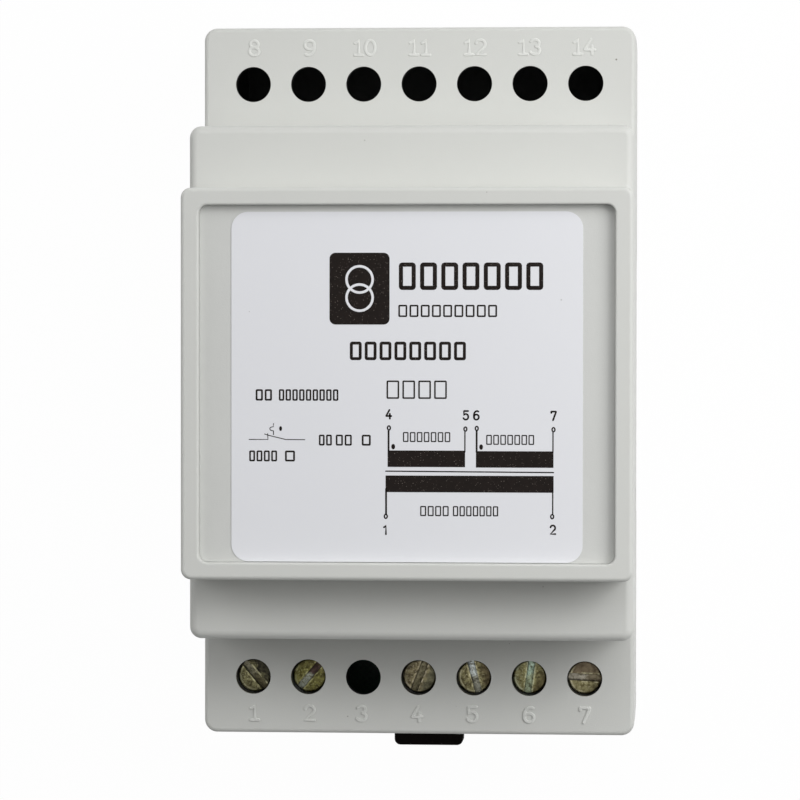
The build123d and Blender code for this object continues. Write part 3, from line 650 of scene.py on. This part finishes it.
def makeSolderTree():
    # a cone of solder hangs from each point, wide end up
    tree, given, out = newGeometryTree("solderCones", [
        ("Wide Radius", "NodeSocketFloat", 0.0011),
        ("Tip Radius", "NodeSocketFloat", 0.0006),
        ("Height", "NodeSocketFloat", 0.0006),
    ])
    inputs = {"Vertices": roundness["solder"], "Side Segments": roundness["solderSide"],
              "Radius Top": given["Wide Radius"], "Radius Bottom": given["Tip Radius"],
              "Depth": given["Height"]}
    cone = addNode(tree, "GeometryNodeMeshCone", inputs).outputs[0]
    down = calc(tree, "MULTIPLY", given["Height"], -1.0)
    hung = moveBy(tree, cone, addNode(tree, "ShaderNodeCombineXYZ", {2: down}).outputs[0])
    endTree(tree, copyTo(tree, given["Geometry"], hung), given["Material"], out)
    return tree


strokeTree = makeStrokeTree()
wireTree = makeWireTree()
sheetTree = makeSheetTree()
solderTree = makeSolderTree()
print("geometry trees built")


# Meshes and pieces

def bake(source, material, scale=1.0):
    # what the modifiers of a helper object make, as a plain mesh
    evaluated = source.evaluated_get(bpy.context.evaluated_depsgraph_get())
    mesh = bpy.data.meshes.new_from_object(evaluated)
    source.modifiers.clear()
    bpy.data.objects.remove(source)
    mesh.transform(Matrix.Scale(scale, 4))
    mesh.materials.clear()
    mesh.materials.append(material)
    return mesh


def newObject(name, data):
    thing = bpy.data.objects.new(name, data)
    bpy.context.scene.collection.objects.link(thing)
    return thing


def growMesh(name, mesh, tree, values, melt=None):
    # runs a tree on a mesh; with melt, what it makes is fused into one soft relief
    source = newObject(name + "Source", mesh)
    modifier = source.modifiers.new("grow", "NODES")
    modifier.node_group = tree
    sockets = {item.name: item.identifier for item in tree.interface.items_tree if item.in_out == "INPUT"}
    for label, value in values.items():
        modifier[sockets[label]] = value
    if not melt:
        return bake(source, values["Material"])
    fuse = source.modifiers.new("fuse", "REMESH")
    fuse.mode = "VOXEL"
    fuse.voxel_size = melt["voxel"]
    fuse.use_smooth_shade = True
    relax = source.modifiers.new("relax", "SMOOTH")
    relax.iterations = melt["rounds"]
    return bake(source, values["Material"], melt["scale"])


def addPiece(name, mesh, body):
    mesh.name = name
    piece = newObject(name, mesh)
    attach(piece, body)
    return piece


def growPiece(name, mesh, tree, values, melt=None):
    return addPiece(name, growMesh(name, mesh, tree, values, melt), "case")


def lineMesh(name, strokes, level):
    # strokes are lists of (x, y), closed where the last point repeats the first
    mesh = bpy.data.meshes.new(name)
    points, edges = [], []
    for stroke in strokes:
        closed = stroke[0] == stroke[-1]
        kept = stroke[:-1] if closed else stroke
        start = len(points)
        points += [(x, y, level) for x, y in kept]
        edges += [(start + i, start + i + 1) for i in range(len(kept) - 1)]
        if closed:
            edges.append((len(points) - 1, start))
    mesh.from_pydata(points, edges, [])
    return mesh


def chainMesh(name, points, joined=True):
    mesh = bpy.data.meshes.new(name)
    mesh.from_pydata(points, [(i, i + 1) for i in range(len(points) - 1)] if joined else [], [])
    return mesh


def plateMesh(name, outlines, low, high):
    # closed flat plates, each from an outline that runs anticlockwise
    build = bmesh.new()
    for outline in outlines:
        bottom = [build.verts.new((x, y, low)) for x, y in outline]
        top = [build.verts.new((x, y, high)) for x, y in outline]
        build.faces.new(top)
        build.faces.new(list(reversed(bottom)))
        for i in range(len(outline)):
            j = (i + 1) % len(outline)
            build.faces.new((bottom[i], bottom[j], top[j], top[i]))
    mesh = bpy.data.meshes.new(name)
    build.to_mesh(mesh)
    build.free()
    return mesh


def arc(x, y, radiusX, radiusY, start, end, count=14):
    turns = [math.radians(start + (end - start) * i / count) for i in range(count + 1)]
    return [(x + radiusX * math.cos(turn), y + radiusY * math.sin(turn)) for turn in turns]


def loop(x, y, radiusX, radiusY, count=24):
    ring = arc(x, y, radiusX, radiusY, 90, 450, count)
    return ring[:-1] + [ring[0]]


def roundedOutline(lowX, highX, lowY, highY, corner, count=6):
    points = []
    for x, y, start in ((highX - corner, highY - corner, 0), (lowX + corner, highY - corner, 90),
                        (lowX + corner, lowY + corner, 180), (highX - corner, lowY + corner, 270)):
        points += arc(x, y, corner, corner, start, start + 90, count)
    return points


def softened(points, share=0.12, count=4):
    # rounds the inner corners of an open line with short curves
    out = [points[0]]
    for before, here, after in zip(points, points[1:], points[2:]):
        first = tuple(h + (b - h) * share for b, h in zip(before, here))
        last = tuple(h + (a - h) * share for a, h in zip(after, here))
        for i in range(count + 1):
            t = i / count
            weights = ((1 - t) ** 2, 2 * t * (1 - t), t * t)
            out.append(tuple(sum(w * v for w, v in zip(weights, ends)) for ends in zip(first, here, last)))
    return out + [points[-1]]


# Numbers, drawn in a box one unit wide and one high

sixStrokes = [loop(0.5, 0.3, 0.5, 0.3), arc(0.62, 0.5, 0.62, 0.5, 62, 205)]
digits = {
    "0": [loop(0.5, 0.5, 0.5, 0.5)],
    "1": [[(0.14, 0.8), (0.34, 0.86), (0.54, 1.0), (0.54, 0.0)], [(0.12, 0.0), (0.96, 0.0)]],
    "2": [arc(0.5, 0.7, 0.48, 0.3, 165, -40) + [(0.03, 0.0), (1.0, 0.0)]],
    "3": [arc(0.5, 0.77, 0.44, 0.23, 155, -90) + arc(0.5, 0.27, 0.5, 0.27, 90, -155)],
    "4": [softened([(0.66, 1.0), (0.0, 0.3), (1.05, 0.3)], 0.06), [(0.76, 0.55), (0.76, 0.0)]],
    "5": [softened([(0.95, 1.0), (0.14, 1.0), (0.08, 0.54)], 0.08) + arc(0.48, 0.33, 0.52, 0.33, 132, -152)],
    "6": sixStrokes,
    "7": [softened([(0.02, 0.84), (0.02, 1.0), (1.0, 1.0), (0.36, 0.0)], 0.1)],
    "8": [loop(0.5, 0.77, 0.41, 0.23), loop(0.5, 0.27, 0.5, 0.27)],
    "9": [[(1 - x, 1 - y) for x, y in stroke] for stroke in sixStrokes],
}


def writeNumber(text, x, y, size, serif=True):
    # centre-lines of a number, centred on x and y; the 1 has its foot only with serif
    width, height, advance = size
    strokes = []
    for place, digit in enumerate(text):
        left = x + (place - (len(text) - 1) / 2) * advance - width / 2
        shape = digits[digit]
        if digit == "1" and not serif:
            shape = shape[:1]
        strokes += [[(left + px * width, y + (py - 0.5) * height) for px, py in stroke] for stroke in shape]
    return strokes


# Moulded numerals beside the screw holes, in millimetres, because the voxels would be too coarse in metres

numeral = {
    "size": (1.2, 1.82, 1.46), "pitch": 6.875, "level": 35.0,
    "stroke": 0.38, "rise": 0.17, "sunk": 0.12, "shoulder": 0.06,
    "melt": {"voxel": 0.05, "rounds": 3, "scale": mm},
    "rows": (
        # place, first number, how deep it is sunk, and how far each number stands from its hole's axis
        (-41.34, 1, 0.0, (0.14, 0.16, -0.24, -0.18, -0.2, 0.0, 0.06)),
        (41.33, 8, 0.08, (0.09, 0.12, 0.06, 0.06, 0.0, -0.16, -0.3)),
    ),
}


def makeNumerals():
    values = {"Stroke Width": numeral["stroke"], "Rise": numeral["rise"], "Sunk": numeral["sunk"],
              "Shoulder": numeral["shoulder"], "Material": numeralLitGrey}
    for y, first, sunk, shifts in numeral["rows"]:
        strokes = []
        for place, shift in enumerate(shifts):
            x = (place - 3) * numeral["pitch"] + shift
            strokes += writeNumber(str(first + place), x, y, numeral["size"])
        lines = lineMesh("numerals", strokes, numeral["level"] - sunk)
        growPiece(f"numerals_from_{first}", lines, strokeTree, values, numeral["melt"])
    print("numerals moulded")


# Printed label; places and widths in millimetres from the middle of the rail channel

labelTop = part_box("rating_label")[1].z
label = {
    "ink": 0.015 * mm, "sunk": 0.005 * mm, "shoulder": 0.004 * mm,
    "bars": [(-2.23, 6.93, -9.80, -7.85), (8.22, 17.36, -9.84, -7.9), (-2.47, 17.38, -12.78, -10.81)],
    "coreLine": [(-2.45, -10.3), (17.36, -10.4)],
    "rings": [(-2.08, -5.19), (6.97, -5.3), (8.31, -5.22), (17.36, -5.34), (-2.44, -15.65), (17.22, -15.6)],
    "ringSize": (0.17, 0.24), "ringSteps": 16, "ringWidth": 0.17,
    "thickLeads": [[(-2.12, -5.5), (-2.12, -8.0)], [(8.3, -5.5), (8.3, -8.0)],
                   [(-2.41, -15.3), (-2.41, -12.4)]],
    "thinLeads": [[(6.91, -5.6), (6.91, -8.0)], [(17.3, -5.65), (17.3, -8.0)],
                  [(17.28, -15.3), (17.28, -12.4)]],
    "thickWidth": 0.22, "thinWidth": 0.15,
    "dots": [(-1.57, -7.4), (8.83, -7.42)], "dotSize": (0.22, 0.32), "dotTurn": (0, 345, 23),
    "numbers": [("4", -2.12, -3.58), ("5", 7.02, -3.68), ("6", 8.26, -3.68), ("7", 17.38, -3.72),
                ("1", -2.45, -17.25), ("2", 17.3, -17.14)],
    "numberSize": (0.58, 1.02, 0.8), "numberWidth": 0.21,
    "switch": [
        [(-18.69, -6.6), (-16.45, -6.6), (-16.48, -5.92)],
        [(-16.84, -5.95), (-16.48, -6.08), (-14.31, -6.6), (-12.07, -6.61)],
        [(-15.79, -4.72), (-15.79, -5.12), *arc(-15.85, -5.33, 0.38, 0.24, 80, 280, 8), (-15.79, -5.6),
         (-15.79, -6.02)],
    ],
    "switchWidth": 0.1, "switchDot": arc(-14.94, -5.3, 0.17, 0.29, 0, 345, 15),
    "block": roundedOutline(-9.13, -2.02, 7.02, 15.5, 0.7),
    "coils": [(-5.57, 12.35), (-5.57, 10.2)], "coilRadius": 1.55, "coilSteps": 40,
    "coilWidth": 0.3, "coilRises": [0.01 * mm, 0.014 * mm],
    "blankRows": [
        # left, right, low and high edge of a row of empty boxes, how many, and how heavy their lines are
        (-0.92, 16.13, 11.1, 14.35, 7, 0.5),
        (-0.98, 10.69, 7.91, 9.36, 9, 0.2),
        (-6.72, 7.02, 2.81, 5.01, 8, 0.36),
        (-2.37, 4.77, -1.75, 0.42, 4, 0.19),
        (-17.91, -15.97, -2.0, -0.64, 2, 0.22),
        (-15.15, -8.08, -2.0, -0.64, 9, 0.2),
        (-10.39, -8.85, -7.3, -6.0, 2, 0.2),
        (-8.38, -6.48, -7.3, -6.0, 2, 0.2),
        (-5.3, -4.23, -7.3, -6.0, 1, 0.22),
        (-18.68, -15.36, -9.2, -7.9, 4, 0.2),
        (-14.42, -13.23, -9.2, -7.9, 1, 0.22),
        (-0.42, 5.18, -6.85, -5.67, 7, 0.14),
        (9.43, 15.08, -7.15, -5.97, 7, 0.14),
        (1.63, 5.0, -15.6, -14.4, 4, 0.15),
        (5.5, 10.85, -15.6, -14.4, 7, 0.15),
    ],
    "boxGap": 0.2, "boxCorner": 0.3, "boxSteps": 2,
}


def scaled(points):
    return [(x * mm, y * mm) for x, y in points]


def printPlates(name, outlines):
    mesh = plateMesh(name, [scaled(outline) for outline in outlines], labelTop, labelTop + label["ink"])
    mesh.materials.append(printBlack)
    addPiece(name, mesh, "case")


def printLines(name, strokes, width, level=labelTop, rise=label["ink"], material=printBlack):
    values = {"Stroke Width": width * mm, "Rise": rise, "Sunk": label["sunk"], "Shoulder": label["shoulder"],
              "Material": material}
    lines = lineMesh(name, [scaled(stroke) for stroke in strokes], level)
    growPiece(name, lines, strokeTree, values)


def makeSchematic():
    bars = [[(x0, y0), (x1, y0), (x1, y1), (x0, y1)] for x0, x1, y0, y1 in label["bars"]]
    dots = [arc(x, y, *label["dotSize"], *label["dotTurn"]) for x, y in label["dots"]]
    rings = [loop(x, y, *label["ringSize"], label["ringSteps"]) for x, y in label["rings"]]
    printPlates("label_winding_bars", bars + dots)
    printLines("label_rings", rings, label["ringWidth"])
    printLines("label_leads_fine", label["thinLeads"] + [label["coreLine"]], label["thinWidth"])
    printLines("label_leads_heavy", label["thickLeads"], label["thickWidth"])
    numbers = []
    for text, x, y in label["numbers"]:
        numbers += writeNumber(text, x, y, label["numberSize"], serif=False)
    printLines("label_terminal_numbers", numbers, label["numberWidth"])


def makeSwitchSymbol():
    # a contact that opens when it gets warm, drawn as an electrician does
    printLines("label_switch_symbol", label["switch"], label["switchWidth"])
    printPlates("label_switch_dot", [label["switchDot"]])


def makeBlankFields():
    # a plain block with the sign for two coupled coils, and rows of empty boxes to write in
    printPlates("label_block", [label["block"]])
    for coil, ((x, y), rise) in enumerate(zip(label["coils"], label["coilRises"])):
        ring = loop(x, y, label["coilRadius"], label["coilRadius"], label["coilSteps"])
        printLines(f"label_coil_sign_{coil + 1}", [ring], label["coilWidth"], labelTop + label["ink"], rise,
                   labelWhite)
    for row, (left, right, low, high, count, weight) in enumerate(label["blankRows"]):
        pitch = (right - left) / (count - label["boxGap"])
        width, inset = pitch * (1 - label["boxGap"]), weight / 2
        boxes = []
        for place in range(count):
            near = left + place * pitch
            box = roundedOutline(near + inset, near + width - inset, low + inset, high - inset,
                                 weight * label["boxCorner"], label["boxSteps"])
            boxes.append(box + [box[0]])
        printLines(f"label_boxes_{row + 1}", boxes, weight)


makeNumerals()
makeSchematic()
makeSwitchSymbol()
makeBlankFields()
print("label printed")


# Screws, core, windings and the underside of the board

weldGap = 0.002 * mm


def addToMesh(mesh, extra):
    build = bmesh.new()
    build.from_mesh(mesh)
    build.from_mesh(extra)
    build.to_mesh(mesh)
    build.free()


def mergedCopy(nodeName):
    # a node's loose triangles joined into one skin
    build = bmesh.new()
    build.from_mesh(nodes[nodeName].data)
    bmesh.ops.remove_doubles(build, verts=build.verts, dist=weldGap)
    return build


def finishCopy(name, build):
    mesh = bpy.data.meshes.new(name)
    build.to_mesh(mesh)
    build.free()
    return mesh


def thinShank(build, middle, headLow):
    # the thread's core is thinner than the smooth shank of the solid
    shank = screwShape["shank"]
    nearest, farthest = (share * shank for share in screwShape["nearShank"])
    for vertex in build.verts:
        out = Vector((vertex.co.x - middle.x, vertex.co.y - middle.y, 0))
        if vertex.co.z < headLow + screwShape["headSlack"] and nearest < out.length < farthest:
            vertex.co -= out * (1 - screwShape["root"] / shank)


def makeScrew(terminal):
    # a copy of the turned screw with worn edges, a thinner shank and a rolled thread round it
    nodeName = f"terminal_screw_{terminal}"
    low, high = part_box(nodeName)
    middle = (low + high) / 2
    headLow = high.z - screwShape["headHeight"]
    build = mergedCopy(nodeName)
    flat = math.radians(screwShape["flatAngle"])
    bmesh.ops.dissolve_limit(build, angle_limit=flat, verts=build.verts, edges=build.edges)
    thinShank(build, middle, headLow)
    mesh = finishCopy(nodeName, build)
    mesh.shade_smooth()
    mesh.set_sharp_from_angle(angle=math.radians(screwShape["sharpAngle"]))
    source = newObject(nodeName + "Source", mesh)
    bevel = source.modifiers.new("wornEdges", "BEVEL")
    bevel.width = screwShape["edge"]
    bevel.segments = screwShape["edgeSteps"]
    bevel.limit_method = "ANGLE"
    bevel.angle_limit = math.radians(screwShape["edgeAngle"])
    bevel.harden_normals = True
    worn = bake(source, finishes[nodeName])

    pitch, stepsPerTurn = screwShape["pitch"], screwShape["threadSteps"]
    centre = screwShape["shank"] - screwShape["ridge"]
    start, end = low.z + pitch, headLow - pitch / 2
    helix = []
    for step in range(int((end - start) / pitch * stepsPerTurn) + 1):
        turn = 2 * math.pi * step / stepsPerTurn
        helix.append((middle.x + centre * math.cos(turn), middle.y + centre * math.sin(turn),
                      start + step / stepsPerTurn * pitch))
    values = {"Radius": screwShape["ridge"], "Material": finishes[nodeName]}
    addToMesh(worn, growMesh("threadRidge", chainMesh("threadLine", helix), wireTree, values))
    piece = addPiece(f"worn_screw_{terminal}", worn, f"screw_{terminal}")
    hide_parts(nodeName)


coreLook = {"limb": 9.0 * mm, "sheets": 37, "gap": 0.02 * mm, "shift": 0.03 * mm, "seedE": 3, "seedI": 8}


def stackSheets(nodeName, outline, seed):
    low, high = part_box(nodeName)
    pitch = (high.z - low.z) / coreLook["sheets"]
    sheet = plateMesh("coreSheet", [outline], low.z, low.z + pitch - coreLook["gap"])
    values = {"Sheets": coreLook["sheets"], "Pitch": pitch, "Shift": coreLook["shift"], "Seed": seed,
              "Material": coreSteel}
    piece = growPiece(nodeName + "_sheets", sheet, sheetTree, values)
    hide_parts(nodeName)


def makeCore():
    # the sheets are a little smaller than the solid, so that they stay inside it however they shift
    inset, limb = coreLook["shift"], coreLook["limb"]
    low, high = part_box("core_e_laminations")
    left, right, spine = low.x + inset, high.x - inset, low.x + limb - inset
    bottom, top = low.y + inset, high.y - inset
    outer, half = top + inset - limb + inset, limb - inset
    stackSheets("core_e_laminations", [
        (left, bottom), (right, bottom), (right, -outer), (spine, -outer), (spine, -half), (right, -half),
        (right, half), (spine, half), (spine, outer), (right, outer), (right, top), (left, top)],
        coreLook["seedE"])
    low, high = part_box("core_i_laminations")
    stackSheets("core_i_laminations", [
        (low.x + inset, low.y + inset), (high.x - inset, low.y + inset),
        (high.x - inset, high.y - inset), (low.x + inset, high.y - inset)], coreLook["seedI"])


windings = {
    "primary_winding": {"wire": 0.4 * mm, "build": 6.4 * mm, "corner": 4.2 * mm},
    "secondary_winding_a": {"wire": 0.6 * mm, "build": 3.1 * mm, "corner": 2.4 * mm},
    "secondary_winding_b": {"wire": 0.6 * mm, "build": 3.1 * mm, "corner": 2.4 * mm},
}
drawnIn = 0.7  # how far the solid under the outer layer is drawn in, in wire diameters
cornerSteps = 4


def makeWinding(nodeName):
    # the outer layer shows its turns; what lies under it is the solid drawn in by most of a wire
    look = windings[nodeName]
    wire = look["wire"]
    low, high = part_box(nodeName)
    middle = (low + high) / 2
    halfY, halfZ = (high.y - low.y) / 2, (high.z - low.z) / 2
    reachY, reachZ = halfY - wire / 2, halfZ - wire / 2
    ring = roundedOutline(-reachY, reachY, -reachZ, reachZ, look["corner"], cornerSteps)
    turns = int((high.x - low.x) / wire) - 1
    pitch = (high.x - low.x - wire) / turns
    path = [(low.x + wire / 2 + (turn + place / len(ring)) * pitch, middle.y + y, middle.z + z)
            for turn in range(turns) for place, (y, z) in enumerate(ring)]
    values = {"Radius": wire / 2, "Material": enamelledCopper}
    line = chainMesh("windingLine", path)
    piece = growPiece(nodeName + "_turns", line, wireTree, values)
    build = mergedCopy(nodeName)
    for vertex in build.verts:
        y, z = vertex.co.y - middle.y, vertex.co.z - middle.z
        if abs(y) > halfY - look["build"] / 2 or abs(z) > halfZ - look["build"] / 2:
            vertex.co.y -= math.copysign(min(abs(y), wire * drawnIn), y)
            vertex.co.z -= math.copysign(min(abs(z), wire * drawnIn), z)
    addToMesh(piece.data, finishCopy("windingUnder", build))
    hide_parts(nodeName)


board = {
    "underside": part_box("circuit_board")[0].z,
    "pinX": 16.3, "pinY": (-12, -6, 0, 6, 12), "legY": -30.33,
    "pinSolder": (1.1, 0.6), "legSolder": (1.4, 1.0), "solderHeight": 0.55,
    "trackWidth": 1.6, "trackDepth": 0.035, "trackShoulder": 0.01,
    "tracks": [
        [(-20.6, -30.3), (-19.0, -30.3), (-16.2, -27.5), (-16.2, -21.0), (-20.0, -17.2), (-20.0, -9.7),
         (-16.3, -6.0)],
        [(-13.75, -30.3), (-13.75, -14.5), (-16.3, -12.0)],
        [(0.0, -30.3), (0.0, -15.0), (13.5, -1.5), (16.3, 0.0)],
        [(6.88, -30.3), (6.88, -18.0), (11.5, -13.4), (11.5, -10.8), (16.3, -6.0)],
        [(13.75, -30.3), (13.75, -14.5), (16.3, -12.0)],
        [(20.6, -30.3), (19.0, -30.3), (16.2, -27.5), (16.2, -21.0), (20.0, -17.2), (20.0, 2.3), (16.3, 6.0)],
    ],
}


def addSolder(name, points, wide, tip):
    values = {"Wide Radius": wide * mm, "Tip Radius": tip * mm, "Height": board["solderHeight"] * mm,
              "Material": tinnedMetal}
    growPiece(name, chainMesh(name, points, joined=False), solderTree, values)


def makeBoardUnderside():
    under = board["underside"]
    pins = [(side * board["pinX"] * mm, y * mm, under) for side in (-1, 1) for y in board["pinY"]]
    bars = [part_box(f"contact_bar_{terminal}") for terminal in terminals]
    legs = [((low.x + high.x) / 2, board["legY"] * mm, under) for low, high in bars]
    addSolder("pin_solder", pins, *board["pinSolder"])
    addSolder("leg_solder", legs, *board["legSolder"])
    values = {"Stroke Width": board["trackWidth"] * mm, "Rise": 0.0, "Sunk": board["trackDepth"] * mm,
              "Shoulder": board["trackShoulder"] * mm, "Material": trackGreen}
    lines = lineMesh("trackLines", [scaled(track) for track in board["tracks"]], under)
    growPiece("board_tracks", lines, strokeTree, values)


for terminal in terminals:
    makeScrew(terminal)
print("screws threaded")
makeCore()
for nodeName in windings:
    makeWinding(nodeName)
makeBoardUnderside()
print("core stacked, coils wound, board soldered")


# Floor, light and camera

floorLook = {"size": 3.0, "color": fromScreen(240, 240, 240), "whiteShare": 0.98}
room = {"color": (1.0, 1.0, 1.0, 1), "strength": 0.18}
softboxes = {
    "overheadLight": {"place": (0.06, 0.22, 0.68), "size": 0.5, "energy": 0.25},
    "keyLight": {"place": (0.18, 0.38, 0.52), "size": 0.5, "energy": 1.42},
    "sideLight": {"place": (0.21, 0.07, 0.23), "size": 0.16, "energy": 0.45},
    "leftLight": {"place": (-0.35, 0.20, 0.25), "size": 0.3, "energy": 0.42},
}
lightAim = (0, 0, 0.03)
# the photograph's own camera, fitted to its outline
view = {"place": (0.0300106, 0.0068538, 0.4871575), "turn": (-0.02031, 0.07139, 0.00231),
        "focalPixels": 3653.33, "framePixels": 800, "sensor": 36.0, "clipStart": 0.01}


def lightPathSum(tree):
    path = addNode(tree, "ShaderNodeLightPath").outputs
    seen = calc(tree, "ADD", path["Is Camera Ray"], path["Is Glossy Ray"])
    return calc(tree, "ADD", seen, path["Is Transmission Ray"], clamp=True)


def makeFloor():
    half = floorLook["size"] / 2
    mesh = bpy.data.meshes.new("floor")
    corners = [(-half, -half, 0), (half, -half, 0), (half, half, 0), (-half, half, 0)]
    mesh.from_pydata(corners, [], [(0, 1, 2, 3)])
    material = bpy.data.materials.new("paleFloor")
    material.use_nodes = True
    tree = material.node_tree
    tree.nodes.clear()
    matt = addNode(tree, "ShaderNodeBsdfDiffuse", {"Color": floorLook["color"]}).outputs[0]
    glow = addNode(tree, "ShaderNodeEmission", {"Color": (1, 1, 1, 1), "Strength": 1.0}).outputs[0]
    share = calc(tree, "MULTIPLY", lightPathSum(tree), floorLook["whiteShare"])
    mixed = addNode(tree, "ShaderNodeMixShader", {0: share, 1: matt, 2: glow}).outputs[0]
    addNode(tree, "ShaderNodeOutputMaterial", {0: mixed})
    mesh.materials.append(material)
    newObject("floor", mesh)


def makeWorld():
    world = bpy.data.worlds.new("paleRoom")
    world.use_nodes = True
    tree = world.node_tree
    tree.nodes.clear()
    soft, white = (addNode(tree, "ShaderNodeBackground", {"Color": color, "Strength": strength}).outputs[0]
                   for color, strength in ((room["color"], room["strength"]), ((1, 1, 1, 1), 1.0)))
    mixed = addNode(tree, "ShaderNodeMixShader", {0: lightPathSum(tree), 1: soft, 2: white}).outputs[0]
    addNode(tree, "ShaderNodeOutputWorld", {0: mixed})
    bpy.context.scene.world = world


def addSoftbox(name):
    look = softboxes[name]
    lamp = bpy.data.lights.new(name, "AREA")
    lamp.shape = "SQUARE"
    lamp.size = look["size"]
    lamp.energy = look["energy"]
    box = newObject(name, lamp)
    box.location = look["place"]
    box.rotation_euler = (Vector(lightAim) - Vector(look["place"])).to_track_quat("-Z", "Y").to_euler()


def makeCamera():
    camera = bpy.data.cameras.new("camera")
    camera.sensor_width = view["sensor"]
    camera.lens = view["focalPixels"] / view["framePixels"] * view["sensor"]
    camera.clip_start = view["clipStart"]
    holder = newObject("camera", camera)
    holder.location = view["place"]
    holder.rotation_mode = "ZYX"
    holder.rotation_euler = view["turn"]
    bpy.context.scene.camera = holder


makeFloor()
makeWorld()
for name in softboxes:
    addSoftbox(name)
makeCamera()
bpy.context.scene.view_settings.view_transform = "Standard"
print("floor, light and camera set")
